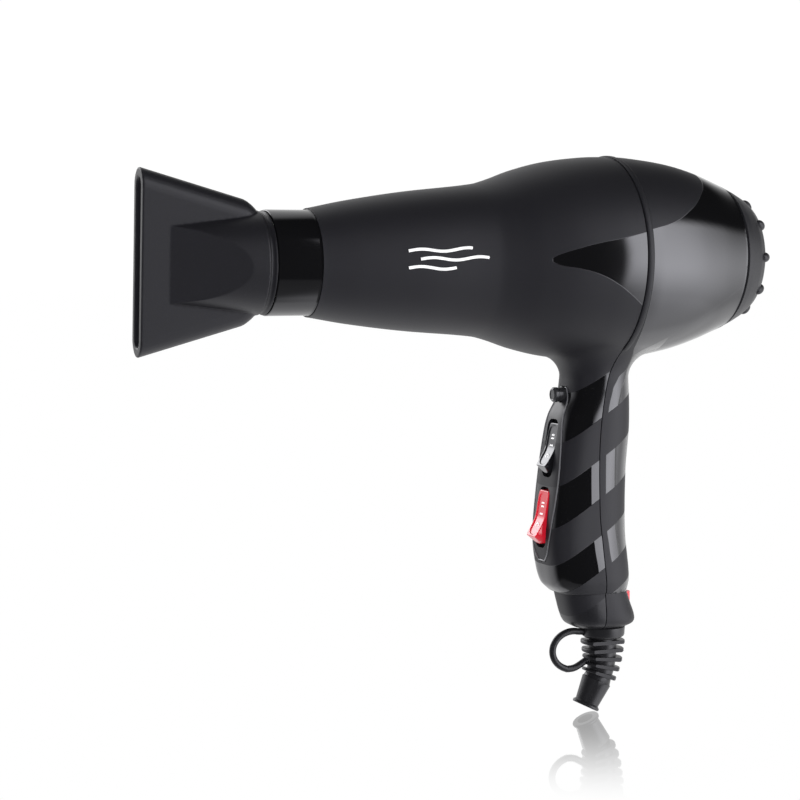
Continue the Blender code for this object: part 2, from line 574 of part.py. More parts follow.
# Rear inlet
def make_inlet():
    z = REAR_AXIS_Z
    centre = (BARREL_REAR, 0, z)
    frame = turned(((0.0485, 0.0296), (BARREL_REAR, 0.0296), (BARREL_REAR, 0.0284), (0.0485, 0.0284)),
                   z, hollow=True)
    piece("filter_frame", frame, NYLON, centre)
    low, high, rim = 0.0494, 0.0502, 0.0284 - GAP
    screen = turned(((low, rim), (high, rim), (high, rim - 0.0012), (low, rim - 0.0012)), z,
                    hollow=True)
    for offset in spread(-0.0228, 0.0228, 13):
        reach = math.sqrt((rim - 0.0006) ** 2 - offset ** 2)
        screen = union(screen, box((low + 0.0001, offset - 0.0003, z - reach),
                                   (high - 0.0001, offset + 0.0003, z + reach)))
    for offset in (-0.0120, 0.0, 0.0120):
        reach = math.sqrt((rim - 0.0006) ** 2 - offset ** 2)
        screen = union(screen, box((low + 0.0002, -reach, z + offset - 0.0003),
                                   (high - 0.0002, reach, z + offset + 0.0003)))
    piece("filter_screen", screen, STEEL, centre)
    low, high, grille_radius = 0.0676, 0.0694, 0.0199
    outline = (
        (BARREL_REAR + GAP, 0.0320), (0.0593, 0.0300), (0.0645, 0.0272), (0.0678, 0.0246),
        (high, 0.0216), (high, grille_radius + GAP), (low, grille_radius + GAP), (0.0657, 0.0232),
        (0.0585, 0.0282), (BARREL_REAR + GAP, 0.0292),
    )
    cap = turned(outline, z, 30, hollow=True)
    grille = turned(((low, 0.0048), (high, 0.0048)), z, 12)
    for radius, sides in ((0.0086, 16), (0.0124, 16), (0.0162, 20), (grille_radius, 30)):
        grille = union(grille, turned(((low, radius), (high, radius), (high, radius - 0.0012),
                                       (low, radius - 0.0012)), z, sides, hollow=True))
    count = 10
    for i in range(count):
        turn = Matrix.Translation((0, 0, z)) @ Matrix.Rotation((i + 0.5) * 2 * math.pi / count, 4, "X")
        spoke = box((low + 0.0002, -0.0007, 0.0040), (high - 0.0002, 0.0007, 0.0192))
        grille = union(grille, moved(spoke, turn))
        nub = bmesh.new()
        bmesh.ops.create_uvsphere(nub, u_segments=6, v_segments=4, radius=0.0021)
        nub.transform(Matrix.Translation((0.0676, 0, 0.0230)) @ Matrix.Rotation(math.radians(55), 4, "Y")
                      @ Matrix.Diagonal((1.5, 1.0, 1.0, 1.0)))
        cap = union(cap, moved(nub, turn))
    piece("inlet_grille", grille, GRILLE_GREY, centre)
    piece("rear_cap", cap, GRILLE_GREY, centre)


# Switches
def surface_frame(z):
    """Local axes on the handle's front: +X out of the surface, +Z down along it."""
    step = 0.006
    low, high = curve_through(HANDLE_FRONT_KEYS, z - step), curve_through(HANDLE_FRONT_KEYS, z + step)
    slope = math.atan2(high - low, 2 * step)
    place = Matrix.Translation((curve_through(HANDLE_FRONT_KEYS, z), 0, z))
    return place @ Matrix.Rotation(slope, 4, "Y") @ Matrix.Rotation(math.pi, 4, "Y")


def rocker_form(half, face):
    """A rocker about its pin: flat face, slanting ends and a rounded belly, ends rounded."""
    shoulder = half - 0.0035
    side = [(face, -shoulder), (face - 0.0003, 0.0), (face, shoulder), (0.0021, half),
            (-0.0014, half - 0.0030), (-0.0014, -half + 0.0030), (0.0021, -half)]
    body = prism([(x, z) for x, z in side], 1, -ROCKER_HALF_WIDTH, ROCKER_HALF_WIDTH)
    plan = []
    corner = 0.0032
    for sign_y, sign_z, first in ((1, 1, 0), (-1, 1, 90), (-1, -1, 180), (1, -1, 270)):
        for step in range(4):
            angle = math.radians(first + 30 * step)
            plan.append((sign_y * (ROCKER_HALF_WIDTH - corner) + corner * math.cos(angle),
                         sign_z * (half - corner) + corner * math.sin(angle)))
    body = common(body, prism(plan, 0, -0.010, 0.015))
    hole = ROCKER_PIN_RADIUS + ROCKER_PIN_CLEARANCE
    return minus(body, rod((0, -0.02, 0), (0, 0.02, 0), hole, 16))


def make_switches():
    panel = common(handle_core(0.0, -0.1400, -0.0510), prism(panel_outline(), 0, -0.050, -0.013))
    panel = minus(panel, handle_core(PANEL_THICKNESS, -0.1440, -0.0500))
    for name, z, half, face, finish in (
        ("heat", HEAT_ROCKER_Z, HEAT_ROCKER_HALF, HEAT_ROCKER_FACE, GLOSS_BLACK),
        ("speed", SPEED_ROCKER_Z, SPEED_ROCKER_HALF, SPEED_ROCKER_FACE, RED_PLASTIC),
    ):
        frame = surface_frame(z)
        well_y, well_z = ROCKER_HALF_WIDTH + GAP, half + 0.0008
        panel = minus(panel, moved(box((-0.006, -well_y, -well_z), (0.006, well_y, well_z)), frame))
        seat = box((-0.0100, -SWITCH_HALF_WIDTH - GAP, -half - 0.0016 - GAP),
                   (-0.0032 + GAP, SWITCH_HALF_WIDTH + GAP, half + 0.0016 + GAP))
        panel = minus(panel, moved(seat, frame))
        pivot = frame @ Vector((-ROCKER_PIVOT_DEPTH, 0, 0))
        top, floor = -0.0032, -0.0088
        switch = box((top - SWITCH_DEPTH, -SWITCH_HALF_WIDTH, -half - 0.0016),
                     (top, SWITCH_HALF_WIDTH, half + 0.0016))
        switch = minus(switch, box((floor, -well_y, -half - 0.0006), (0.004, well_y, half + 0.0006)))
        ends = [(-ROCKER_PIVOT_DEPTH, side * 0.0062, 0) for side in (-1, 1)]
        hole = [(-ROCKER_PIVOT_DEPTH, side * 0.02, 0) for side in (-1, 1)]
        switch = minus(switch, rod(*hole, ROCKER_PIN_RADIUS + ROCKER_PIN_CLEARANCE, 16))
        piece(f"{name}_switch_body", moved(switch, frame), CARBON, pivot)
        piece(f"{name}_rocker_pin", moved(rod(*ends, ROCKER_PIN_RADIUS, 16), frame), STEEL, pivot)
        rocker = moved(rocker_form(half, face), Matrix.Rotation(ROCKER_REST_TILT, 4, "Y"))
        rocker = moved(rocker, frame.to_3x3().to_4x4())
        piece(f"{name}_rocker", moved(rocker, Matrix.Translation(pivot)), finish, pivot)
    panel = minus(panel, rod((-0.030, 0, BUTTON_Z), (-0.010, 0, BUTTON_Z), STEM_RADIUS + GAP),
                  rod((-0.030, 0, BUTTON_Z), (BUTTON_SEAT_X, 0, BUTTON_Z), BUTTON_RADIUS + GAP, 20))
    piece("switch_panel", panel, GLOSS_BLACK)


def make_cool_shot():
    z = BUTTON_Z
    front, back, flange = BUTTON_FACE_X, BUTTON_FACE_X + 0.0025, BUTTON_FLANGE_X
    outline = ((front, BUTTON_RADIUS - 0.0006), (front + 0.0005, BUTTON_RADIUS), (back, BUTTON_RADIUS),
               (back, STEM_RADIUS), (flange, STEM_RADIUS), (flange, 0.0031),
               (flange + 0.0008, 0.0031), (flange + 0.0008, TAIL_RADIUS), (-0.0115, TAIL_RADIUS))
    piece("cool_shot_button", turned(outline, z, 20), MATTE_BLACK, (back, 0, z))
    turns, per_turn, low, high = 4, 8, -0.0141, -0.0098
    path = []
    for i in range(turns * per_turn + 1):
        angle = 2 * math.pi * i / per_turn
        x = low + (high - low) * i / (turns * per_turn)
        path.append((x, 0.0025 * math.cos(angle), z + 0.0025 * math.sin(angle)))
    piece("cool_shot_spring", sweep(path, 0.00025, 4), STEEL)
    piece("cool_shot_switch", box((-0.0092, -0.0050, z - 0.0050), (-0.0032, 0.0050, z + 0.0050)), CARBON)


def make_indicator():
    lens = box((0.0090, -LENS_HALF_WIDTH, LENS_LOW), (0.0134, LENS_HALF_WIDTH, LENS_HIGH))
    edges = [edge for edge in lens.edges if all(vert.co.x > 0.0130 for vert in edge.verts)]
    bmesh.ops.bevel(lens, geom=edges, offset=0.0006, segments=1, affect="EDGES")
    piece("indicator_lens", lens, RED_PLASTIC)


# Cord exit
def boot_point(distance):
    """The point and direction of the boot's centre line, measured from the inside of the base."""
    start = BOOT_TOP_Z
    straight, bent = start - BOOT_BEND_Z, BOOT_BEND_RADIUS * BOOT_BEND_ANGLE
    angle = min(max(distance - straight, 0.0) / BOOT_BEND_RADIUS, BOOT_BEND_ANGLE)
    x = BOOT_X - BOOT_BEND_RADIUS * (1 - math.cos(angle))
    z = start - min(distance, straight) - BOOT_BEND_RADIUS * math.sin(angle)
    direction = Vector((-math.sin(angle), 0, -math.cos(angle)))
    return Vector((x, 0, z)) + direction * max(distance - straight - bent, 0.0), direction


def boot_ring(distance, radius):
    point, direction = boot_point(distance)
    return ring_on(point, direction, radius, 12)


def loop_path():
    """The hanging eye: a round wire from the boot's collar round and back between its ribs."""
    centre, half_width, half_height = Vector((-0.0126, 0, -0.1726)), 0.0098, 0.0085
    path = [Vector((-0.0020, 0, -0.1650))]
    for degrees in spread(75, 255, 14):
        angle = math.radians(degrees)
        path.append(centre + Vector((half_width * math.cos(angle), 0, half_height * math.sin(angle))))
    return path + [Vector((x, 0, z)) for x, z in ((-0.0112, -0.1803), (-0.0050, -0.1768), (-0.0010, -0.1745))]


def make_cord_exit():
    rings = [(0.0, 0.0084), (0.0014, 0.0084), (0.0014, 0.0062), (0.0055, 0.0062), (0.0055, 0.0098),
             (0.0085, 0.0097), (0.0100, 0.0078), (0.0108, 0.0067)]
    for i in range(5):
        middle, reach, core = 0.0126 + 0.00365 * i, 0.0098 - 0.00048 * i, 0.0066 - 0.00015 * i
        rings += [(middle - 0.0006, core), (middle - 0.0005, reach), (middle + 0.0005, reach),
                  (middle + 0.0006, core)]
    rings += [(0.0310, 0.0058), (BOOT_LENGTH - 0.0018, 0.0054), (BOOT_LENGTH - 0.0013, 0.0061),
              (BOOT_LENGTH, 0.0061)]
    bore = [boot_ring(distance, CORD_BORE) for distance in reversed(spread(0.0, BOOT_LENGTH, 7))]
    boot = loft([boot_ring(*ring) for ring in rings] + bore, closed=True)
    loop = sweep(loop_path(), 0.0015, 10)
    room = sweep(loop_path(), 0.0015 + GAP, 10)
    core = loft([boot_ring(distance, 0.0066) for distance in spread(0.0040, 0.0270, 5)])
    piece("strain_relief", minus(boot, minus(room, core)), RUBBER_BLACK)
    core = loft([boot_ring(distance, 0.0066 + GAP) for distance in spread(0.0040, 0.0270, 5)])
    piece("hanging_loop", minus(loop, core), RUBBER_BLACK)


def make_cord_clamp():
    bar = box((-0.0056, -0.0098, CLAMP_Z - 0.0022), (-0.0015, 0.0098, CLAMP_Z + 0.0022))
    bar = minus(bar, rod((BOOT_X, 0, -0.160), (BOOT_X, 0, -0.130), CORD_BORE, 16))
    for side in (-1, 1):
        y = side * CLAMP_SCREW_Y
        bar = minus(bar, rod((-0.010, y, CLAMP_Z), (0.002, y, CLAMP_Z), 0.0014, 12))
        head = rod((-0.0074, y, CLAMP_Z), (-0.0059, y, CLAMP_Z), 0.0022, 12)
        screw = union(head, rod((-0.0064, y, CLAMP_Z), (0.0050, y, CLAMP_Z), 0.0010, 10))
        piece(f"clamp_screw_{'left' if side < 0 else 'right'}", screw, STEEL)
    piece("cord_clamp", bar, NYLON)


def make_wiring():
    piece("suppression_capacitor", box((-0.0060, -0.0060, -0.0960), (0.0060, 0.0060, -0.0880)), CABLE_GREY)
    for name, side in (("left", -1), ("right", 1)):
        motor = ((0.0000, 0.0085, -0.1190), (0.0010, 0.0090, -0.1000), (0.0010, 0.0090, -0.0750),
                 (-0.0010, 0.0085, -0.0560), (-0.0060, 0.0060, -0.0390), (-0.0200, 0.0060, -0.0250),
                 (-0.0262, 0.0060, -0.0130))
        heater = ((-0.0070, 0.0095, -0.1190), (-0.0070, 0.0098, -0.1000), (-0.0070, 0.0098, -0.0750),
                  (-0.0060, 0.0095, -0.0560), (-0.0090, 0.0086, -0.0400), (-0.0220, 0.0085, -0.0310),
                  (-0.0340, 0.0080, -0.0260), (-0.0400, 0.0070, -0.0180))
        for label, route in (("motor", motor), ("heater", heater)):
            points = [(x, side * y, z) for x, y, z in route]
            piece(f"{label}_lead_{name}", sweep(points, 0.0009, 6), CABLE_GREY)


clear_scene()
make_shells()
make_handle_screws()
make_outlet()
make_nozzle()
make_heater()
make_motor()
make_rotor()
make_shroud()
make_inlet()
make_switches()
make_cool_shot()
make_indicator()
make_cord_exit()
make_cord_clamp()
make_wiring()
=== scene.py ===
"""Looks of the hair dryer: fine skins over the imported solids, their plastics, floor, light and camera.

Shapes are written in metres from the centre of the seam between the two shells: +X towards the
air inlet, +Z up, -Y towards the viewer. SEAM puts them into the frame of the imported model.
"""

import json
from math import atan2, copysign, cos, pi, radians, sin

import bmesh
import bpy
import numpy as np
from mathutils import Matrix, Vector


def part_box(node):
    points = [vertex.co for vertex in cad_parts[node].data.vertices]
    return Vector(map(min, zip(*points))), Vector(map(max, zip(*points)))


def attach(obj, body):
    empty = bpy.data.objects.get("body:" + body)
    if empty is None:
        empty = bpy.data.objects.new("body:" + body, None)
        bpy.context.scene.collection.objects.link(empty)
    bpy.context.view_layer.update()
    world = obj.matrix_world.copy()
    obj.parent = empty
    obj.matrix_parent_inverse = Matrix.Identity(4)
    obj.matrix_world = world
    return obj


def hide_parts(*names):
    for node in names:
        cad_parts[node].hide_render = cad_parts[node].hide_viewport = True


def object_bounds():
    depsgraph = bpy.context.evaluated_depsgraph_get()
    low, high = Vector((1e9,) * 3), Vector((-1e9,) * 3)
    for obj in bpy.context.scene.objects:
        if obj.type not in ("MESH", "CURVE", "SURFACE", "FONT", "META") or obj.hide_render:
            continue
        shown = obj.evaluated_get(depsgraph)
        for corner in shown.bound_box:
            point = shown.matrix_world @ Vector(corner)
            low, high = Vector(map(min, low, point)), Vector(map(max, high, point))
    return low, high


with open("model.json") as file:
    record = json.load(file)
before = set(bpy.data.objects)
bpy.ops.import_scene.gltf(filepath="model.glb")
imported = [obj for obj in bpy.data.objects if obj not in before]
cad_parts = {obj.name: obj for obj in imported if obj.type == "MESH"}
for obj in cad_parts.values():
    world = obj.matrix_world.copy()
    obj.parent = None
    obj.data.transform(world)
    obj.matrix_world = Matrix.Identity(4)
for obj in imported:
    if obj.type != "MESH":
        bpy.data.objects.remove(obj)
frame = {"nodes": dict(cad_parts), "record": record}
CAD_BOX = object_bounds()

# Places read from the frame
GAP = 0.0003
SEAM = Vector((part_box("front_shell")[1].x + GAP / 2, 0.0, 0.1))
OUTLET_AXIS_Z = sum(corner.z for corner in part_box("outlet_collar")) / 2 - SEAM.z
REAR_AXIS_Z = sum(corner.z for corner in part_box("filter_frame")) / 2 - SEAM.z
COLLAR_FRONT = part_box("outlet_collar")[0].x - SEAM.x
NOZZLE_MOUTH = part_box("concentrator_nozzle")[0].x - SEAM.x
LOWEST_Z = CAD_BOX[0].z

# Casing
BARREL_KEYS = (
    (-0.1355, 0.0226), (-0.1185, 0.0258), (-0.094, 0.02925), (-0.062, 0.0325), (-0.054, 0.0346),
    (-0.043, 0.0384), (-0.029, 0.0418), (-0.012, 0.0438), (0.0, 0.0441),
    (0.009, 0.0437), (0.0268, 0.0412), (0.0403, 0.0376), (0.0545, 0.0322),
)
BARREL_FRONT, BARREL_REAR, AXIS_END, WALL = -0.1355, 0.0545, 0.04, 0.0022
BEAD_WIDTH, BEAD_HEIGHT, SEAM_GROOVE = 0.0028, 0.0006, 0.00045
HANDLE_TOP, HANDLE_LIP, LIP_ROUND, FILLET = -0.0508, -0.1462, 0.0009, 0.009
HANDLE_FRONT_KEYS = (
    (-0.1462, -0.0216), (-0.142, -0.0256), (-0.1315, -0.0279), (-0.122, -0.0286),
    (-0.103, -0.0268), (-0.0793, -0.0238), (-0.0688, -0.022), (-0.06, -0.0183),
    (-0.0508, -0.0174),
)
HANDLE_REAR_KEYS = (
    (-0.1462, 0.0112), (-0.14, 0.0122), (-0.119, 0.01), (-0.0928, 0.01),
    (-0.0718, 0.0116), (-0.0508, 0.0108),
)
HANDLE_WIDTH_KEYS = (
    (-0.1462, 0.014), (-0.14, 0.0157), (-0.119, 0.016), (-0.0797, 0.0155), (-0.0508, 0.015),
)
FRONT_SQUARENESS_KEYS = (
    (-0.162, 2.5), (-0.1462, 3.0), (-0.13, 3.8), (-0.08, 4.0), (-0.06, 2.8), (-0.0508, 2.4),
)
REAR_SQUARENESS = 2.5
BASE_HEIGHTS = (-0.162, -0.1604, -0.1576, -0.151, -0.143)
BASE_FRONTS = (-0.0122, -0.0152, -0.0168, -0.0187, -0.0204)
BASE_REARS = (0.0118, 0.0148, 0.0153, 0.013, 0.0102)
BASE_HALF_WIDTHS = (0.0098, 0.0122, 0.0134, 0.0132, 0.013)
PARTING_KEYS = (
    (-0.17, -0.003), (-0.15, -0.003), (-0.125, -0.0059), (-0.11, -0.0075),
    (-0.08, -0.0075), (-0.057, -0.0047), (-0.04, 0.0),
)
PANEL_TOP, PANEL_BOTTOM, PANEL_THICKNESS = -0.056, -0.132, 0.0016
PANEL_WIDTH_KEYS = (
    (-0.132, 0.003), (-0.128, 0.0068), (-0.119, 0.0092), (-0.1, 0.011),
    (-0.085, 0.0104), (-0.072, 0.0086), (-0.062, 0.0062), (-0.056, 0.003),
)

# Finish boundaries: gloss bands climb the grip, a gloss leaf and a satin saddle sit on the barrel
BAND_SLOPE = 0.65
BAND_EDGES = (-0.0469, -0.0645, -0.082, -0.099, -0.1155, -0.131, -0.1455)
LEAF_UPPER = ((-0.0414, 1.0), (-0.0385, 3.1), (-0.0303, 6.3), (-0.0216, 9.0), (-0.0127, 10.9),
              (0.0, 14.5))
LEAF_LOWER = ((-0.0414, -1.0), (-0.0385, -3.1), (-0.0302, -5.1), (-0.0216, -8.2), (-0.0123, -14.3),
              (-0.0072, -18.9), (0.0, -26.5))
SADDLE_EDGE = ((14.6, -0.002), (15.9, 0.002), (17.4, 0.0065), (19.3, 0.0117), (22.6, 0.0173),
               (28.3, 0.0234), (34.7, 0.0286), (42.2, 0.0327), (51.6, 0.0367), (67.6, 0.0396),
               (90.0, 0.0406))
TRIM_WIDTH = ((-0.162, 0.0032), (-0.052, 0.0034), (-0.046, 0.0075), (-0.04, 0.006),
              (-0.03, 0.0036), (-0.015, 0.0028), (0.045, 0.0028))


# Small tools
def curve_at(keys, at):
    """The value at one place of a smooth curve through (place, value) keys in rising order."""
    at = min(max(at, keys[0][0]), keys[-1][0])
    index = max(i for i in range(len(keys) - 1) if keys[i][0] <= at)
    (x0, y0), (x1, y1) = keys[index], keys[index + 1]
    slope = (y1 - y0) / (x1 - x0)
    before = slope if index == 0 else (y1 - keys[index - 1][1]) / (x1 - keys[index - 1][0])
    last = index + 2 == len(keys)
    after = slope if last else (keys[index + 2][1] - y0) / (keys[index + 2][0] - x0)
    t = (at - x0) / (x1 - x0)
    rise = (x1 - x0) * (t * (1 - t) ** 2 * before - t * t * (1 - t) * after)
    return y0 + (y1 - y0) * t * t * (3 - 2 * t) + rise


def spread(low, high, count):
    return [low + (high - low) * i / (count - 1) for i in range(count)]


def many(keys):
    """The same curve as a function of an array of places."""
    places = np.array(spread(keys[0][0], keys[-1][0], 400))
    values = np.array([curve_at(keys, place) for place in places])
    return lambda at: np.interp(at, places, values)


def ring_x(x, radius, z=0.0, sides=96):
    angles = [2 * pi * i / sides for i in range(sides)]
    return [Vector((x, radius * cos(a), z + radius * sin(a))) for a in angles]


def ring_on(centre, direction, radius, sides):
    across = Vector((0, 1, 0)) if abs(direction.y) < 0.5 else Vector((0, 0, 1))
    other = direction.cross(across).normalized()
    angles = [2 * pi * (i + 0.5) / sides for i in range(sides)]
    return [centre + radius * (cos(a) * across + sin(a) * other) for a in angles]


def loft(rings, closed=False):
    """A skin over rings of equally many points, capped at both ends or joined end to end."""
    bm = bmesh.new()
    rows = [[bm.verts.new(point) for point in ring] for ring in rings]
    pairs = list(zip(rows, rows[1:]))
    if closed:
        pairs.append((rows[-1], rows[0]))
    for row, following in pairs:
        for i in range(len(row)):
            j = (i + 1) % len(row)
            bm.faces.new((row[i], row[j], following[j], following[i]))
    if not closed:
        bm.faces.new(rows[0])
        bm.faces.new(rows[-1])
    bmesh.ops.recalc_face_normals(bm, faces=bm.faces[:])
    return bm


def turned(profile, z=0.0, sides=96, hollow=False):
    return loft([ring_x(x, radius, z, sides) for x, radius in profile], closed=hollow)


def softened(profile, radius):
    """A closed turning profile with each corner rounded off."""
    result, steps = [], 3
    for i, point in enumerate(profile):
        here = Vector(point)
        before, after = Vector(profile[i - 1]), Vector(profile[(i + 1) % len(profile)])
        reach = min(radius, (before - here).length * 0.45, (after - here).length * 0.45)
        start = here + (before - here).normalized() * reach
        end = here + (after - here).normalized() * reach
        for step in range(steps + 1):
            t = step / steps
            result.append(tuple(start * (1 - t) ** 2 + here * 2 * t * (1 - t) + end * t * t))
    return result


def rod(start, end, radius):
    start, end = Vector(start), Vector(end)
    direction = (end - start).normalized()
    return loft([ring_on(point, direction, radius, 32) for point in (start, end)])


def box(low, high):
    bm = bmesh.new()
    bmesh.ops.create_cube(bm, size=1.0)
    for vert in bm.verts:
        vert.co = Vector([low[i] if vert.co[i] < 0 else high[i] for i in range(3)])
    return bm


def prism(outline, axis, low, high):
    """An outline in the two other axes, in their order, carried from low to high along one axis."""
    def at(point, value):
        corner = list(point)
        corner.insert(axis, value)
        return Vector(corner)
    return loft([[at(point, value) for point in outline] for value in (low, high)])


def sweep(points, radius, sides=16, closed=False):
    """A round bar along points, with flat ends or joined into a ring."""
    count = len(points)
    rings = []
    normal = None
    for i, point in enumerate(points):
        before = points[i - 1] if closed or i else point
        after = points[(i + 1) % count] if closed or i + 1 < count else point
        direction = (after - before).normalized()
        if normal is None:
            normal = direction.orthogonal().normalized()
        normal = (normal - normal.dot(direction) * direction).normalized()
        side = direction.cross(normal)
        angles = [2 * pi * k / sides for k in range(sides)]
        rings.append([point + radius * (cos(a) * normal + sin(a) * side) for a in angles])
    return loft(rings, closed)


def moved(bm, matrix):
    bm.transform(matrix)
    return bm


def added(name, bm):
    """A new object in the scene with this mesh, which is used up."""
    mesh = bpy.data.meshes.new(name)
    bm.to_mesh(mesh)
    bm.free()
    return linked(bpy.data.objects.new(name, mesh))


def linked(obj):
    bpy.context.scene.collection.objects.link(obj)
    return obj


def joined(*parts):
    """Several bodies in one mesh, left as they are."""
    mesh = bpy.data.meshes.new("joined")
    whole = bmesh.new()
    for bm in parts:
        bm.to_mesh(mesh)
        bm.free()
        whole.from_mesh(mesh)
    bpy.data.meshes.remove(mesh)
    return whole


def processed(bm, *others, setup):
    """Runs one modifier over a mesh; the meshes it is given are used up."""
    holders = [added("operand", source) for source in (bm, *others)]
    setup(holders)
    result = bmesh.new()
    result.from_object(holders[0], bpy.context.evaluated_depsgraph_get())
    for holder in holders:
        bpy.data.meshes.remove(holder.data, do_unlink=True)
    return result


def combined(base, tool, operation):
    def setup(holders):
        modifier = holders[0].modifiers.new("combine", "BOOLEAN")
        modifier.operation = operation
        modifier.solver = "MANIFOLD"
        modifier.object = holders[1]
    return processed(base, tool, setup=setup)


def union(base, *tools):
    for tool in tools:
        base = combined(base, tool, "UNION")
    return base


def minus(base, *tools):
    for tool in tools:
        base = combined(base, tool, "DIFFERENCE")
    return base


def common(base, tool):
    return combined(base, tool, "INTERSECT")


def remeshed(bm, size, rounds=0):
    """Even small faces over the whole surface, then a few rounds of smoothing."""
    def setup(holders):
        modifier = holders[0].modifiers.new("remesh", "REMESH")
        modifier.mode = "VOXEL"
        modifier.voxel_size = size
    bm = processed(bm, setup=setup)
    for _ in range(rounds):
        bmesh.ops.smooth_vert(bm, verts=bm.verts[:], factor=0.5,
                              use_axis_x=True, use_axis_y=True, use_axis_z=True)
    return bm


def settled(bm, field):
    """Moves every vertex down the field's slope until it lies on the field's zero surface."""
    points = np.array([vert.co[:] for vert in bm.verts])
    step = 0.00005
    for _ in range(6):
        value = field(points)
        slope = np.stack([(field(points + shift) - field(points - shift)) / (2 * step)
                          for shift in step * np.eye(3)], axis=1)
        points -= slope * (value / np.maximum((slope ** 2).sum(axis=1), 0.1))[:, None]
    for vert, point in zip(bm.verts, points):
        vert.co = point
    return bm


def piece(name, bm, body, finish, replaces=None, sharp=35):
    """A finished piece: into the frame, shaded, given its material and fixed to its CAD body."""
    bm.transform(Matrix.Translation(SEAM))
    obj = added(name, bm)
    obj.data.shade_smooth()
    obj.data.set_sharp_from_angle(angle=radians(sharp))
    obj.data.materials.append(finish)
    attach(obj, body)
    if replaces:
        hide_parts(replaces)


# Materials
class Graph:
    """A material's node tree, built with short calls."""

    def __init__(self, name):
        self.material = bpy.data.materials.new(name)
        self.material.use_nodes = True
        self.nodes = self.material.node_tree.nodes
        self.links = self.material.node_tree.links
        self.shader = self.nodes["Principled BSDF"]
        self.place = self.node("TexCoord").outputs["Object"]

    def plug(self, socket, value):
        if isinstance(value, bpy.types.NodeSocket):
            self.links.new(value, socket)
        else:
            socket.default_value = value

    def node(self, kind, **inputs):
        """A new node with some inputs plugged; their names have _ for a space."""
        node = self.nodes.new("ShaderNode" + kind)
        for name, value in inputs.items():
            self.plug(node.inputs[name.replace("_", " ")], value)
        return node

    def math(self, operation, *values, clamp=False):
        node = self.node("Math")
        node.operation = operation
        node.use_clamp = clamp
        for socket, value in zip(node.inputs, values):
            self.plug(socket, value)
        return node.outputs[0]

    def add(self, first, second):
        return self.math("ADD", first, second)

    def sub(self, first, second):
        return self.math("SUBTRACT", first, second)

    def mul(self, first, second):
        return self.math("MULTIPLY", first, second)

    def parts(self, vector):
        return self.node("SeparateXYZ", Vector=vector).outputs

    def ramp(self, value, start, end):
        """Rises smoothly from 0 at start to 1 at end, whichever of them is lower."""
        node = self.node("MapRange", Value=value, From_Min=start, From_Max=end)
        node.interpolation_type = "SMOOTHSTEP"
        return node.outputs[0]

    def step(self, value, edge, soft=0.00012):
        """0 below the edge, 1 above it, with a narrow soft change."""
        if isinstance(edge, bpy.types.NodeSocket):
            return self.ramp(value, self.sub(edge, soft), self.add(edge, soft))
        return self.ramp(value, edge - soft, edge + soft)

    def curve(self, value, keys):
        """A smooth curve through keys, as a function of a socket."""
        low, high = keys[0][0], keys[-1][0]
        least, most = min(v for _, v in keys), max(v for _, v in keys)
        node = self.node("FloatCurve", Value=self.math("DIVIDE", self.sub(value, low), high - low))
        points = node.mapping.curves[0].points
        scaled = [((place - low) / (high - low), (v - least) / (most - least)) for place, v in keys]
        points[0].location, points[1].location = scaled[0], scaled[-1]
        for place in scaled[1:-1]:
            points.new(*place)
        node.mapping.update()
        return self.add(self.mul(node.outputs[0], most - least), least)

    def noise(self, scale, detail, stretch=None):
        source = self.place
        if stretch:
            source = self.node("Mapping", Vector=source, Scale=stretch).outputs[0]
        node = self.node("TexNoise", Vector=source, Scale=scale, Detail=detail, Roughness=0.6)
        return node.outputs["Fac"]

    def between(self, share, low, high):
        return self.add(self.mul(share, high - low), low)

    def mix(self, share, first, second, kind="RGBA"):
        """Between two colours or, with the kind VECTOR, two directions."""
        node = self.node("Mix")
        node.data_type = kind
        for name, value in (("Factor", share), ("A", first), ("B", second)):
            self.plug(node.inputs[name], (*value, 1.0) if isinstance(value, tuple) else value)
        return node.outputs["Result"]

    def bump(self, height, distance, under=None):
        node = self.node("Bump", Height=height, Distance=distance)
        if under is not None:
            self.plug(node.inputs["Normal"], under)
        return node.outputs["Normal"]

    def finish(self, colour, roughness, normal=None, metallic=None, shine=None):
        for name, value in (("Base Color", colour), ("Roughness", roughness), ("Normal", normal),
                            ("Metallic", metallic), ("Specular IOR Level", shine)):
            if value is not None:
                self.plug(self.shader.inputs[name], value)
        if not metallic:
            self.shader.inputs["Specular Tint"].default_value = (0.93, 0.93, 1.0, 1.0)
        return self.material


def shade(colour, factor):
    return tuple(channel * factor for channel in colour)


def moulded(name, colour, rough, grain=2600.0, depth=0.00001, vary=0.12, metallic=0.0,
            stretch=None, shine=0.5):
    """Moulded or drawn stuff: slight cloudiness, a fine grain and uneven gloss."""
    g = Graph(name)
    cloud = g.noise(60.0, 2.0)
    fine = g.noise(grain, 2.0, stretch=stretch)
    tint = g.mix(cloud, shade(colour, 1 - vary), shade(colour, 1 + vary))
    roughness = g.between(fine, rough * 0.85, rough * 1.15)
    return g.finish(tint, roughness, g.bump(fine, depth), metallic, shine)


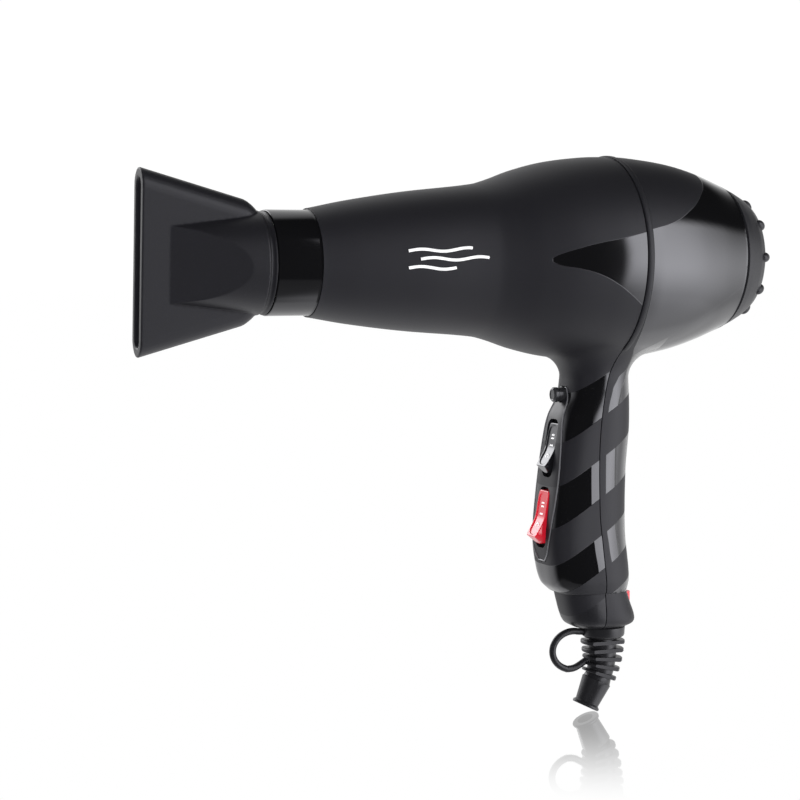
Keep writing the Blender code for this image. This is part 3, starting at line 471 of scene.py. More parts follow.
def casing_masks(g):
    """Sockets by name, 1 on each area of the finish, and the distance past the parting."""
    x, y, z = g.parts(g.place)
    x, z = g.sub(x, SEAM.x), g.sub(z, SEAM.z)
    side = g.math("ABSOLUTE", y)
    share = g.math("DIVIDE", g.sub(x, BARREL_FRONT), AXIS_END - BARREL_FRONT, clamp=True)
    height = g.sub(z, g.between(share, OUTLET_AXIS_Z, REAR_AXIS_Z))
    turn = g.math("DEGREES", g.math("ARCTAN2", height, side))
    leaf = g.mul(g.step(x, LEAF_UPPER[0][0]), g.step(g.curve(x, LEAF_UPPER), turn, 0.25))
    leaf = g.mul(leaf, g.step(turn, g.curve(x, LEAF_LOWER), 0.25))
    saddle = g.mul(g.step(g.curve(turn, SADDLE_EDGE), x, 0.0002),
                   g.step(turn, SADDLE_EDGE[0][0], 0.25))
    level = g.sub(z, g.mul(x, BAND_SLOPE))
    bands = 0.0
    for i, edge in enumerate(BAND_EDGES):
        below = g.step(edge, level)
        bands = g.sub(bands, below) if i % 2 else g.add(bands, below)
    parting = g.curve(z, PARTING_KEYS + ((0.045, 0.0),))
    trim = g.step(g.add(parting, g.curve(z, TRIM_WIDTH)), x)
    return {"leaf": leaf, "saddle": saddle, "bands": bands, "trim": trim,
            "grip": g.step(BAND_EDGES[0], level), "above_lip": g.step(z, HANDLE_LIP),
            "past": g.sub(x, parting)}


SATIN_BLACK, DEEP_BLACK = (0.0086, 0.0085, 0.0104), (0.003, 0.003, 0.0034)
SATIN_ROUGH, GLOSS_ROUGH = 0.5, 0.11
SATIN_SHINE, GLOSS_SHINE = 0.32, 0.8
LIP_GLOSS, PANEL_GLOSS = 0.3, 0.28
# The polished bands are slightly faceted: slopes over ways measured backwards from the parting
FRONT_FACET_END, FRONT_FACET = -0.004, 0.11
REAR_FACETS = ((0.0075, 0.0083, 1.0), (0.0083, 0.02, 0.18))


def casing_finish(name, gloss_of):
    """Satin black with polished areas; gloss_of turns the masks into the polished share."""
    g = Graph(name)
    masks = casing_masks(g)
    gloss = gloss_of(g, masks)
    grain, cloud = g.noise(3200.0, 2.0), g.noise(45.0, 2.0)
    satin = g.mix(cloud, shade(SATIN_BLACK, 0.92), shade(SATIN_BLACK, 1.08))
    colour = g.mix(gloss, satin, DEEP_BLACK)
    satin_share = g.sub(1.0, gloss)
    rough = g.between(grain, SATIN_ROUGH * 0.9, SATIN_ROUGH * 1.1)
    rough = g.add(g.mul(rough, satin_share), g.mul(gloss, GLOSS_ROUGH))
    fine = g.bump(g.mul(grain, satin_share), 0.000012)
    past = masks["past"]
    facets = g.mul(g.math("MINIMUM", g.sub(past, FRONT_FACET_END), 0.0), FRONT_FACET)
    for start, end, slope in REAR_FACETS:
        rise = g.math("MINIMUM", g.math("MAXIMUM", g.sub(past, start), 0.0), end - start)
        facets = g.sub(facets, g.mul(rise, slope))
    on_bands = g.mul(gloss, masks["grip"])
    normal = g.bump(gloss, -0.00006, g.mix(on_bands, fine, g.bump(facets, 1.0, fine), "VECTOR"))
    return g.finish(colour, rough, normal, shine=g.between(gloss, SATIN_SHINE, GLOSS_SHINE))


def front_gloss(g, masks):
    bands = g.mul(masks["bands"], g.between(masks["above_lip"], LIP_GLOSS, 1.0))
    return g.math("MAXIMUM", masks["leaf"], bands)


def rear_gloss(g, masks):
    shell = g.sub(1.0, g.math("MAXIMUM", masks["saddle"], masks["trim"]))
    on_grip = g.mul(g.mul(masks["bands"], masks["above_lip"]), g.sub(1.0, masks["trim"]))
    return g.add(g.mul(shell, g.sub(1.0, masks["grip"])), g.mul(on_grip, masks["grip"]))


def panel_gloss(g, masks):
    return g.mul(masks["bands"], PANEL_GLOSS)


# Fields whose zero surface is the casing's skin
barrel_radius = many(BARREL_KEYS)
grip_front, grip_rear = many(HANDLE_FRONT_KEYS), many(HANDLE_REAR_KEYS)
grip_width, grip_squareness = many(HANDLE_WIDTH_KEYS), many(FRONT_SQUARENESS_KEYS)


def barrel_axis(x):
    share = np.clip((x - BARREL_FRONT) / (AXIS_END - BARREL_FRONT), 0.0, 1.0)
    return OUTLET_AXIS_Z + (REAR_AXIS_Z - OUTLET_AXIS_Z) * share


def barrel_field(p):
    return np.hypot(p[:, 1], p[:, 2] - barrel_axis(p[:, 0])) - barrel_radius(p[:, 0])


def grip_field(p):
    front, rear = grip_front(p[:, 2]), grip_rear(p[:, 2])
    centre, half = (front + rear) / 2, (rear - front) / 2
    along, across = (p[:, 0] - centre) / half, p[:, 1] / grip_width(p[:, 2])
    power = np.where(along < 0, grip_squareness(p[:, 2]), REAR_SQUARENESS)
    size = (np.abs(along) ** power + np.abs(across) ** power) ** (1 / power)
    return np.hypot(p[:, 0] - centre, p[:, 1]) * (1 - 1 / np.maximum(size, 1e-6))


def rounded_join(a, b, radius):
    corner = np.hypot(np.maximum(radius - a, 0), np.maximum(radius - b, 0))
    return np.maximum(radius, np.minimum(a, b)) - corner


def rounded_cut(a, b, radius):
    return -rounded_join(-a, -b, radius)


def casing_field(p):
    grip = np.maximum(grip_field(p), p[:, 2] + 0.02)
    grip = rounded_cut(grip, HANDLE_LIP - p[:, 2], LIP_ROUND)
    return rounded_join(barrel_field(p), grip, FILLET)


def oval(front, rear, half_width, z, sides=64):
    """A section of the grip: a squared-off oval, flatter in front than behind."""
    centre, half = (front + rear) / 2, (rear - front) / 2
    points = []
    for i in range(sides):
        angle = 2 * pi * i / sides
        in_front = cos(angle) < -0.001
        power = 2 / (curve_at(FRONT_SQUARENESS_KEYS, z) if in_front else REAR_SQUARENESS)
        along = copysign(abs(cos(angle)) ** power, cos(angle))
        across = copysign(abs(sin(angle)) ** power, sin(angle))
        points.append(Vector((centre + half * along, half_width * across, z)))
    return points


def grip_ring(z, grow=0.0, sides=64):
    front = curve_at(HANDLE_FRONT_KEYS, z) - grow
    rear = curve_at(HANDLE_REAR_KEYS, z) + grow
    return oval(front, rear, curve_at(HANDLE_WIDTH_KEYS, z) + grow, z, sides)


def axis_z(x):
    return float(barrel_axis(np.array([x]))[0])


def casing_hollow():
    places = spread(BARREL_FRONT, BARREL_REAR, 40)
    rings = [(x, curve_at(BARREL_KEYS, x) - WALL) for x in places]
    rings = [(BARREL_FRONT - 0.008, rings[0][1])] + rings + [(BARREL_REAR + 0.008, rings[-1][1])]
    barrel = loft([ring_x(x, radius, axis_z(x)) for x, radius in rings])
    heights = [-0.03] + spread(HANDLE_TOP, -0.138, 16)
    grip = [grip_ring(z, -WALL) for z in heights]
    grip += [oval(-0.0175, 0.009, 0.0105, -0.1462), oval(-0.015, 0.0105, 0.0105, -0.156),
             oval(-0.0132, 0.0105, 0.0095, -0.1594)]
    return union(barrel, loft(grip))


def base_form():
    keys = [tuple(zip(BASE_HEIGHTS, values)) for values in (BASE_FRONTS, BASE_REARS, BASE_HALF_WIDTHS)]
    heights = spread(-0.143, -0.1576, 10) + spread(-0.1584, -0.162, 8)
    return loft([oval(*(curve_at(curve, z) for curve in keys), z) for z in heights])


def bead_form():
    """The rounded bead that runs round the barrel behind the seam."""
    low, top = curve_at(BARREL_KEYS, 0) - WALL / 2, curve_at(BARREL_KEYS, 0) - 0.0001
    outline = [(0.0, low)]
    for degrees in spread(0, 180, 13):
        angle = radians(degrees)
        x = BEAD_WIDTH * (1 - cos(angle)) / 2
        outline.append((x, top + (BEAD_HEIGHT + 0.0001) * sin(angle) ** 0.6))
    outline.append((BEAD_WIDTH, low))
    return turned(outline, axis_z(0), hollow=True, sides=192)


def parting_half(side):
    """A block on one side of the parting face: -1 in front, 1 behind."""
    shift = side * SEAM_GROOVE / 2
    heights = spread(PARTING_KEYS[0][0], PARTING_KEYS[-1][0], 50)
    edge = [(curve_at(PARTING_KEYS, z) + shift, z) for z in heights]
    edge.append((shift, 0.06))
    far = side * 0.2
    return prism(edge + [(far, 0.06), (far, -0.17)], 1, -0.06, 0.06)


def panel_outline(grow=0.0):
    heights = spread(PANEL_BOTTOM - grow, PANEL_TOP + grow, 60)
    right = [(curve_at(PANEL_WIDTH_KEYS, z) + grow, z) for z in heights]
    return right + [(-y, z) for y, z in reversed(right)]


SCREW_HEIGHTS, SCREW_SEAT_X, SCREW_RECESS_RADIUS = (-0.047, -0.139), 0.0052, 0.003
BOOT_X, BOOT_TOP_Z, BOOT_LENGTH, BOOT_TUBE_RADIUS = 0.002, -0.1568, 0.0429, 0.0066
BOOT_BEND_Z, BOOT_BEND_RADIUS, BOOT_BEND_ANGLE = -0.1739, 0.03, radians(26)
CORD_BORE = 0.0036
LENS_LOW, LENS_HIGH, LENS_HALF_WIDTH = -0.1518, -0.1472, 0.0024
CASING_CELL = 0.0011


def make_casing():
    places = spread(BARREL_FRONT - 0.003, BARREL_REAR + 0.003, 40)
    barrel = loft([ring_x(x, curve_at(BARREL_KEYS, x), axis_z(x), 64) for x in places])
    grip = loft([grip_ring(z, sides=48) for z in spread(-0.03, HANDLE_LIP, 24)])
    skin = remeshed(joined(barrel, grip), CASING_CELL * 1.3)
    skin = settled(skin, casing_field)
    skin = settled(remeshed(skin, CASING_CELL), casing_field)
    skin = common(skin, box((BARREL_FRONT, -0.06, -0.2), (BARREL_REAR, 0.06, 0.06)))
    body = union(skin, base_form(), bead_form())
    body = minus(body, casing_hollow())
    for z in SCREW_HEIGHTS:
        body = minus(body, rod((SCREW_SEAT_X, 0, z), (0.022, 0, z), SCREW_RECESS_RADIUS))
    body = minus(body, prism(panel_outline(GAP), 0, -0.05, -0.012))
    body = minus(body, rod((BOOT_X, 0, -0.17), (BOOT_X, 0, -0.15), BOOT_TUBE_RADIUS))
    body = minus(body, box((0.006, -LENS_HALF_WIDTH - GAP, LENS_LOW - GAP),
                           (0.02, LENS_HALF_WIDTH + GAP, LENS_HIGH + GAP)))
    front = common(body.copy(), parting_half(-1))
    rear = common(body, parting_half(1))
    piece("front_casing", front, "dryer", casing_finish("front_casing", front_gloss),
          "front_shell")
    piece("rear_casing", rear, "dryer", casing_finish("rear_casing", rear_gloss),
          "rear_shell")


# Outlet and nozzle
def make_collar():
    back = BARREL_FRONT - 0.0001
    profile = ((COLLAR_FRONT, 0.0219), (back - 0.0006, 0.0219), (back, 0.0222), (back, 0.0201),
               (-0.125, 0.0201), (-0.125, 0.0187), (-0.137, 0.0187), (-0.137, 0.0204),
               (COLLAR_FRONT, 0.0204))
    collar = turned(softened(profile, 0.0004), OUTLET_AXIS_Z, hollow=True, sides=128)
    piece("collar_skin", collar, "dryer",
          moulded("collar_gloss", DEEP_BLACK, 0.1, grain=900.0, depth=0.000003), "outlet_collar")


NOZZLE_NECK, NOZZLE_TURN, SPIGOT_BORE = -0.1573, radians(5.5), 0.0154
BLADE_HALF_THICKNESS, BLADE_MOUTH_HALF, BLADE_REAR_HALF, BLADE_REAR = 0.0076, 0.0386, 0.0262, -0.1638
CONE_FRONT, CONE_FRONT_RADIUS, CONE_REAR_RADIUS = -0.196, 0.0172, 0.0216


def stadium(x, half_height, half_thickness):
    """A flat section of the nozzle with half-round ends."""
    points, steps = [], 14
    for end in (1, -1):
        for i in range(steps + 1):
            angle = pi * i / steps
            along = end * (half_height - half_thickness + half_thickness * sin(angle))
            points.append(Vector((x, end * half_thickness * cos(angle), along)))
    return points


def nozzle_form(inset, mouth):
    """Flat blade joined to a cone that slanting facets run down to the blade's sides."""
    half_thickness = BLADE_HALF_THICKNESS - inset
    slope = (BLADE_MOUTH_HALF - BLADE_REAR_HALF) / (NOZZLE_MOUTH - BLADE_REAR)
    rings = []
    for x in spread(mouth, BLADE_REAR, 12)[:-1]:
        rings.append(stadium(x, BLADE_MOUTH_HALF + slope * (x - NOZZLE_MOUTH) - inset, half_thickness))
    for back, lower in ((0.0, 0.0), (0.0015, 0.0007), (0.0029, 0.0017), (0.0041, 0.0027),
                        (0.0051, 0.0037), (0.0063, 0.0057)):
        rings.append(stadium(BLADE_REAR + back, BLADE_REAR_HALF - lower - inset, half_thickness))
    spread_rate = (CONE_REAR_RADIUS - CONE_FRONT_RADIUS) / (NOZZLE_NECK - CONE_FRONT)
    lead = 0.006
    cone = loft([ring_x(CONE_FRONT - lead, CONE_FRONT_RADIUS - lead * spread_rate - inset),
                 ring_x(NOZZLE_NECK, CONE_REAR_RADIUS - inset)])
    rear, edge = NOZZLE_NECK + 0.01, half_thickness - 0.0004
    facet = (0.0215 - BLADE_HALF_THICKNESS) / (BLADE_REAR - CONE_FRONT)
    far = edge + facet * (rear - CONE_FRONT)
    outline = [(CONE_FRONT - lead, -edge), (CONE_FRONT, -edge), (rear, -far),
               (rear, far), (CONE_FRONT, edge), (CONE_FRONT - lead, edge)]
    return union(loft(rings), common(cone, prism(outline, 2, -0.05, 0.05)))


def make_nozzle():
    flange = turned(((NOZZLE_NECK - 0.001, 0.0205), (COLLAR_FRONT - 0.0016, 0.0205),
                     (COLLAR_FRONT - 0.0012, 0.0215), (COLLAR_FRONT - GAP, 0.0216)))
    outer = union(nozzle_form(0.0, NOZZLE_MOUTH), flange)
    slot = loft([stadium(NOZZLE_MOUTH - 0.001, BLADE_MOUTH_HALF - 0.0036, 0.004),
                 stadium(NOZZLE_MOUTH + 0.009, BLADE_MOUTH_HALF - 0.0064, 0.004)])
    throat = turned(((NOZZLE_NECK - 0.002, SPIGOT_BORE), (NOZZLE_NECK - GAP, SPIGOT_BORE),
                     (NOZZLE_NECK - GAP, 0.0169), (-0.15, 0.0169)))
    passage = union(nozzle_form(0.0026, NOZZLE_MOUTH + 0.006), slot, throat)
    nozzle = remeshed(minus(outer, passage), 0.00042, 1)
    lip = turned(((COLLAR_FRONT - 0.001, 0.0202), (COLLAR_FRONT + 0.0002, 0.0202),
                  (COLLAR_FRONT + 0.0002, 0.0171), (COLLAR_FRONT - 0.001, 0.0171)), hollow=True)
    nozzle = joined(nozzle, lip)
    turn = Matrix.Translation((0, 0, OUTLET_AXIS_Z)) @ Matrix.Rotation(NOZZLE_TURN, 4, "X")
    g = Graph("nozzle_plastic")
    grain, specks = g.noise(1500.0, 3.0), g.noise(4200.0, 1.0)
    bright = g.step(specks, 0.7, 0.02)
    colour = g.mix(bright, shade(SATIN_BLACK, 0.8), shade(SATIN_BLACK, 2.4))
    finish = g.finish(colour, g.between(grain, 0.36, 0.52), g.bump(grain, 0.000022), shine=0.34)
    piece("nozzle_skin", moved(nozzle, turn), "nozzle", finish,
          "concentrator_nozzle", 50)


# Rear inlet
def make_inlet_cap():
    low, high, grille_radius, nubs = 0.0676, 0.0694, 0.0199, 10
    profile = (
        (BARREL_REAR + GAP, 0.032), (0.0593, 0.03), (0.0645, 0.0272), (0.0678, 0.0246),
        (high, 0.0216), (high, grille_radius + GAP), (low, grille_radius + GAP), (0.0657, 0.0232),
        (0.0585, 0.0282), (BARREL_REAR + GAP, 0.0292),
    )
    cap = turned(softened(profile, 0.0006), REAR_AXIS_Z, hollow=True, sides=160)
    groove = ((BARREL_REAR, 0.0304), (BARREL_REAR, 0.034), (BARREL_REAR + 0.0018, 0.034),
              (BARREL_REAR + 0.0018, 0.0315), (BARREL_REAR + 0.0004, 0.0304))
    cap = minus(cap, turned(groove, REAR_AXIS_Z, hollow=True, sides=160))
    hub = ((low, 0.0045), (low + 0.0004, 0.0048), (high - 0.0004, 0.0048), (high, 0.0044))
    grille = turned(hub, REAR_AXIS_Z)
    for radius in (0.0086, 0.0124, 0.0162, grille_radius):
        ring = ((low, radius), (high, radius), (high, radius - 0.0012), (low, radius - 0.0012))
        grille = union(grille, turned(softened(ring, 0.0002), REAR_AXIS_Z, hollow=True, sides=96))
    for i in range(nubs):
        turn = (Matrix.Translation((0, 0, REAR_AXIS_Z))
                @ Matrix.Rotation((i + 0.5) * 2 * pi / nubs, 4, "X"))
        spoke = box((low + 0.0002, -0.0007, 0.004), (high - 0.0002, 0.0007, 0.0192))
        grille = union(grille, moved(spoke, turn))
        nub = bmesh.new()
        bmesh.ops.create_uvsphere(nub, u_segments=28, v_segments=16, radius=0.0022)
        lean = Matrix.Rotation(radians(42), 4, "Y") @ Matrix.Diagonal((1.5, 1.0, 1.0, 1.0))
        nub.transform(Matrix.Translation((0.0677, 0, 0.0238)) @ lean)
        cap = union(cap, moved(nub, turn))
    plastic = moulded("cap_plastic", (0.012, 0.012, 0.014), 0.42, 2400.0, 0.000016, shine=0.36)
    piece("inlet_cap_skin", cap, "inlet_cap", plastic, "rear_cap")
    piece("inlet_grille_skin", grille, "inlet_cap", plastic, "inlet_grille")


# Panel, rockers, button
ROCKER_HALF_WIDTH, ROCKER_REST_TILT, ROCKER_PIVOT_DEPTH = 0.0049, radians(13), 0.0046
ROCKERS = (("heat", -0.0826, 0.012, 0.0054), ("speed", -0.1128, 0.0125, 0.0064))
BUTTON_Z, BUTTON_RADIUS, STEM_RADIUS, TAIL_RADIUS = -0.0594, 0.0033, 0.0031, 0.0016
BUTTON_FACE_X, BUTTON_SEAT_X, BUTTON_FLANGE_X = -0.0234, -0.0182, -0.0155
SWITCH_HALF_WIDTH, ROCKER_SINK = 0.0066, 0.0005


def surface_frame(z):
    """Local axes on the grip's front: +X out of the surface, +Z down along it."""
    step = 0.006
    low, high = curve_at(HANDLE_FRONT_KEYS, z - step), curve_at(HANDLE_FRONT_KEYS, z + step)
    slope = atan2(high - low, 2 * step)
    place = Matrix.Translation((curve_at(HANDLE_FRONT_KEYS, z), 0, z))
    return place @ Matrix.Rotation(slope, 4, "Y") @ Matrix.Rotation(pi, 4, "Y")


def front_surface(y, z):
    """The point of the grip's front face at one height and distance from the middle."""
    front, rear = curve_at(HANDLE_FRONT_KEYS, z), curve_at(HANDLE_REAR_KEYS, z)
    power = curve_at(FRONT_SQUARENESS_KEYS, z)
    share = abs(y) / curve_at(HANDLE_WIDTH_KEYS, z)
    along = (1 - share ** power) ** (1 / power)
    return Vector(((front + rear) / 2 - (rear - front) / 2 * along, y, z))


def rounded_box(half_y, half_z, corner, low_x, high_x):
    """A block with rounded corners in plan, standing along X."""
    plan, steps = [], 10
    for sign_y, sign_z, first in ((1, 1, 0), (-1, 1, 90), (-1, -1, 180), (1, -1, 270)):
        for step in range(steps):
            angle = radians(first + 90 * step / (steps - 1))
            plan.append((sign_y * (half_y - corner) + corner * cos(angle),
                         sign_z * (half_z - corner) + corner * sin(angle)))
    return prism(plan, 0, low_x, high_x)


def make_panel():
    core = loft([grip_ring(z, 0.0, 256) for z in spread(-0.05, -0.14, 46)])
    panel = common(core, prism(panel_outline(), 0, -0.05, -0.013))
    hollow = loft([grip_ring(z, -PANEL_THICKNESS, 256) for z in spread(-0.048, -0.144, 46)])
    panel = minus(panel, hollow)
    for _, z, half, _ in ROCKERS:
        place = surface_frame(z)
        well = rounded_box(ROCKER_HALF_WIDTH + GAP, half + 0.0008, 0.0036, -0.006, 0.006)
        panel = minus(panel, moved(well, place))
        seat = box((-0.01, -SWITCH_HALF_WIDTH - GAP, -half - 0.0016 - GAP),
                   (-0.0032 + GAP, SWITCH_HALF_WIDTH + GAP, half + 0.0016 + GAP))
        panel = minus(panel, moved(seat, place))
    outside = Vector((-0.03, 0, BUTTON_Z))
    panel = minus(panel, rod(outside, (-0.01, 0, BUTTON_Z), STEM_RADIUS + GAP),
                  rod(outside, (BUTTON_SEAT_X, 0, BUTTON_Z), BUTTON_RADIUS + GAP))
    piece("panel_skin", panel, "dryer", casing_finish("panel_finish", panel_gloss),
          "switch_panel")
    proud = Vector((-0.00005, 0, 0))
    line = [front_surface(y, z) + proud for y, z in panel_outline(-0.0003)]
    rim = sweep(line, 0.00034, 12, closed=True)
    button_room = rod(outside, (-0.01, 0, BUTTON_Z), BUTTON_RADIUS + GAP)
    # The round bead catches real highlights, and its lighter grey colour is a painted highlight along
    # the panel edge.
    piece("panel_rim", minus(rim, button_room), "dryer",
          moulded("rim_polish_and_painted_highlight", (0.085, 0.085, 0.092), 0.22, grain=900.0, depth=0.000003, shine=1.0))


def rocker_side(half, face):
    """The line of a rocker's face: its upper half runs nearly level, its lower half rises again."""
    shoulder = half - 0.0022
    keys = ((-shoulder, face + 0.0008), (-shoulder * 0.3, face - 0.0003),
            (shoulder * 0.15, face - 0.0009), (shoulder * 0.6, face - 0.0003),
            (shoulder, face + 0.0006))
    return [(curve_at(keys, z), z) for z in spread(-shoulder, shoulder, 25)]


def rocker_shape(half, face):
    """A rocker about its pin, with a raised rim round a sunken face."""
    side = rocker_side(half, face)
    back = [(0.0021, half), (-0.0014, half - 0.003), (-0.0014, -half + 0.003), (0.0021, -half)]
    body = prism(side + back, 1, -ROCKER_HALF_WIDTH, ROCKER_HALF_WIDTH)
    body = common(body, rounded_box(ROCKER_HALF_WIDTH, half, 0.0046, -0.01, 0.015))
    sunk = [(x - ROCKER_SINK, z) for x, z in side] + [(face + 0.006, half), (face + 0.006, -half)]
    dish = common(prism(sunk, 1, -0.01, 0.01),
                  rounded_box(ROCKER_HALF_WIDTH - 0.0008, half - 0.003, 0.0038, -0.01, 0.02))
    return minus(body, dish, rod((0, -0.02, 0), (0, 0.02, 0), 0.001))


def rocker_marks(half, face):
    """Generic switch marks: a ring and bars, thin inlays in the sunken face."""
    side = rocker_side(half, face)

    def level(z):
        face_x = np.interp(z, [place for _, place in side], [x for x, _ in side])
        return face_x - ROCKER_SINK + 0.00008

    def bar(z, length=0.0013, thick=0.0007):
        top = level(z)
        return box((top - 0.0008, -length, z - thick / 2), (top, length, z + thick / 2))

    inlays = [bar(-half * 0.4), bar(-half * 0.4 + 0.0015), bar(-half * 0.02, 0.0014)]
    place, top = half * 0.42, level(half * 0.42)
    profile = ((top - 0.001, 0.0015), (top, 0.0015), (top, 0.0009), (top - 0.001, 0.0009))
    inlays.append(moved(turned(profile, sides=40, hollow=True), Matrix.Translation((0, 0, place))))
    return inlays


def make_rockers():
    polish = {"grain": 700.0, "depth": 0.000004, "shine": 1.0}
    black = moulded("rocker_black", (0.005, 0.005, 0.006), 0.1, **polish)
    red = moulded("rocker_red", (0.55, 0.01, 0.024), 0.13, vary=0.06, **polish)
    white = moulded("rocker_white", (0.85, 0.85, 0.85), 0.4)
    kinds = ((black, "gloss_black"), (red, "red_plastic"))
    for (name, z, half, face), (finish, slot) in zip(ROCKERS, kinds):
        place, body = surface_frame(z), f"{name}_switch"
        pivot = place @ Vector((-ROCKER_PIVOT_DEPTH, 0, 0))
        tilt = Matrix.Rotation(ROCKER_REST_TILT, 4, "Y")
        turn = Matrix.Translation(pivot) @ place.to_3x3().to_4x4() @ tilt
        shape = remeshed(rocker_shape(half, face), 0.00018, 2)
        piece(f"{name}_rocker_skin", moved(shape, turn), body, finish, f"{name}_rocker", 50)
        marks = joined(*rocker_marks(half, face))
        piece(f"{name}_rocker_marks", moved(marks, turn), body, white)


def make_button():
    front, flange = BUTTON_FACE_X, BUTTON_FLANGE_X
    back = front + 0.0025
    profile = ((front + 0.0003, 0.0004), (front + 0.0003, 0.0019), (front + 0.0001, 0.0021),
               (front, 0.0024), (front + 0.0001, 0.0027), (front + 0.0004, 0.003),
               (front + 0.0008, BUTTON_RADIUS), (back - 0.0003, BUTTON_RADIUS),
               (back, BUTTON_RADIUS - 0.0003), (back, STEM_RADIUS), (flange, STEM_RADIUS),
               (flange, 0.0031), (flange + 0.0008, 0.0031), (flange + 0.0008, TAIL_RADIUS),
               (-0.0115, TAIL_RADIUS))
    button = turned(profile, BUTTON_Z, sides=48)
    piece("button_skin", button, "cool_shot",
          moulded("button_plastic", (0.02, 0.02, 0.022), 0.24, grain=1800.0), "cool_shot_button")


# Cord exit
RIB_HALF_WIDTH, LOOP_BAR_RADIUS = 0.0062, 0.0015


def boot_point(distance):
    start = BOOT_TOP_Z
    straight, bent = start - BOOT_BEND_Z, BOOT_BEND_RADIUS * BOOT_BEND_ANGLE
    angle = min(max(distance - straight, 0.0) / BOOT_BEND_RADIUS, BOOT_BEND_ANGLE)
    x = BOOT_X - BOOT_BEND_RADIUS * (1 - cos(angle))
    z = start - min(distance, straight) - BOOT_BEND_RADIUS * sin(angle)
    direction = Vector((-sin(angle), 0, -cos(angle)))
    return Vector((x, 0, z)) + direction * max(distance - straight - bent, 0.0), direction


def boot_ring(distance, radius):
    point, direction = boot_point(distance)
    return ring_on(point, direction, radius, 56)


def boot_core(radius):
    return loft([boot_ring(distance, radius) for distance in spread(0.004, 0.027, 12)])


def loop_path():
    centre, half_width, half_height = Vector((-0.0126, 0, -0.1726)), 0.0098, 0.0085
    path = [Vector((-0.002, 0, -0.165))]
    for degrees in spread(75, 255, 40):
        angle = radians(degrees)
        path.append(centre + Vector((half_width * cos(angle), 0, half_height * sin(angle))))
    foot = ((-0.0112, -0.1803), (-0.005, -0.1768), (-0.001, -0.1745))
    return path + [Vector((x, 0, z)) for x, z in foot]


def smooth_path(points, steps):
    """Points along a smooth curve through the given ones."""
    padded = [points[0]] + list(points) + [points[-1]]
    path = []
    for i in range(len(points) - 1):
        a, b, c, d = padded[i:i + 4]
        for step in range(steps):
            t = step / steps
            path.append(b + 0.5 * t * (c - a + (2 * a - 5 * b + 4 * c - d) * t
                                       + (3 * b - a - 3 * c + d) * t * t))
    return path + [points[-1]]


def make_boot():
    rings = [(0.0, 0.0084), (0.0014, 0.0084), (0.0014, 0.0062), (0.0055, 0.0062), (0.0055, 0.0095),
             (0.0058, 0.0098), (0.0092, 0.0096), (0.0098, 0.0093), (0.0106, 0.0082), (0.0111, 0.0067)]
    for i in range(5):
        middle, reach, core = 0.0126 + 0.00365 * i, 0.0098 - 0.00048 * i, 0.0062 - 0.0001 * i
        half = ((0.0005, reach), (0.0008, reach - 0.0003), (0.0008, core + 0.0003), (0.001, core))
        rings += [(middle - along, radius) for along, radius in reversed(half)]
        rings += [(middle + along, radius) for along, radius in half]
    tail, tail_radius = 0.0306, 0.0066
    rings += [(tail - 0.0004, 0.0062), (tail, tail_radius)]
    rings += [(d, tail_radius - 0.0013 * (d - tail) / 0.0103) for d in spread(0.032, 0.0409, 7)]
    rings += [(BOOT_LENGTH - back, radius) for back, radius in
              ((0.0016, 0.0056), (0.0012, 0.0061), (0.0005, 0.0062), (0.0, 0.0058))]
    bore = [boot_ring(distance, CORD_BORE) for distance in reversed(spread(0.0, BOOT_LENGTH, 24))]
    boot = loft([boot_ring(*ring) for ring in rings] + bore, closed=True)
    for near, far in ((-0.02, -RIB_HALF_WIDTH), (RIB_HALF_WIDTH, 0.02)):
        side = box((-0.03, near, BOOT_TOP_Z - 0.031), (0.03, far, BOOT_TOP_Z - 0.011))
        boot = minus(boot, side)
    room = minus(sweep(loop_path(), LOOP_BAR_RADIUS + GAP), boot_core(BOOT_TUBE_RADIUS))
    rubber = moulded("rubber", (0.008, 0.008, 0.009), 0.38, grain=1600.0, depth=0.000014, shine=0.4)
    piece("strain_relief_skin", minus(boot, room), "dryer", rubber,
          "strain_relief")
    loop = sweep(smooth_path(loop_path(), 3), LOOP_BAR_RADIUS, 24)
    loop = minus(loop, boot_core(BOOT_TUBE_RADIUS + GAP))
    piece("hanging_loop_skin", loop, "dryer", rubber, "hanging_loop")


def make_lens():
    lens = box((0.009, -LENS_HALF_WIDTH, LENS_LOW), (0.0142, LENS_HALF_WIDTH, LENS_HIGH))
    lens = remeshed(lens, 0.00025, 3)
    g = Graph("lens_red")
    cloud = g.noise(300.0, 2.0)
    colour = g.mix(cloud, (0.7, 0.02, 0.03), (0.85, 0.045, 0.055))
    finish = g.finish(colour, g.between(cloud, 0.08, 0.14))
    piece("lens_skin", lens, "dryer", finish, "indicator_lens")


WAVE_LENGTH, WAVE_DEGREES = 0.02, 1.1


def make_emblem():
    """A plain mark of three lines of moving air on the barrel's near side."""
    lines = []
    for row, (start, end) in enumerate(((-0.101, -0.074), (-0.096, -0.067), (-0.101, -0.081))):
        line = []
        for x in spread(start, end, 30):
            radius = curve_at(BARREL_KEYS, x)
            wave = sin((x - start) * 2 * pi / WAVE_LENGTH)
            angle = radians(9.0 - 7.0 * row + WAVE_DEGREES * wave)
            line.append(Vector((x, -radius * cos(angle), axis_z(x) + radius * sin(angle))))
        lines.append(sweep(line, 0.00065, 10))
    white = moulded("mark_white", (0.8, 0.8, 0.81), 0.35)
    piece("barrel_mark", joined(*lines), "dryer", white)


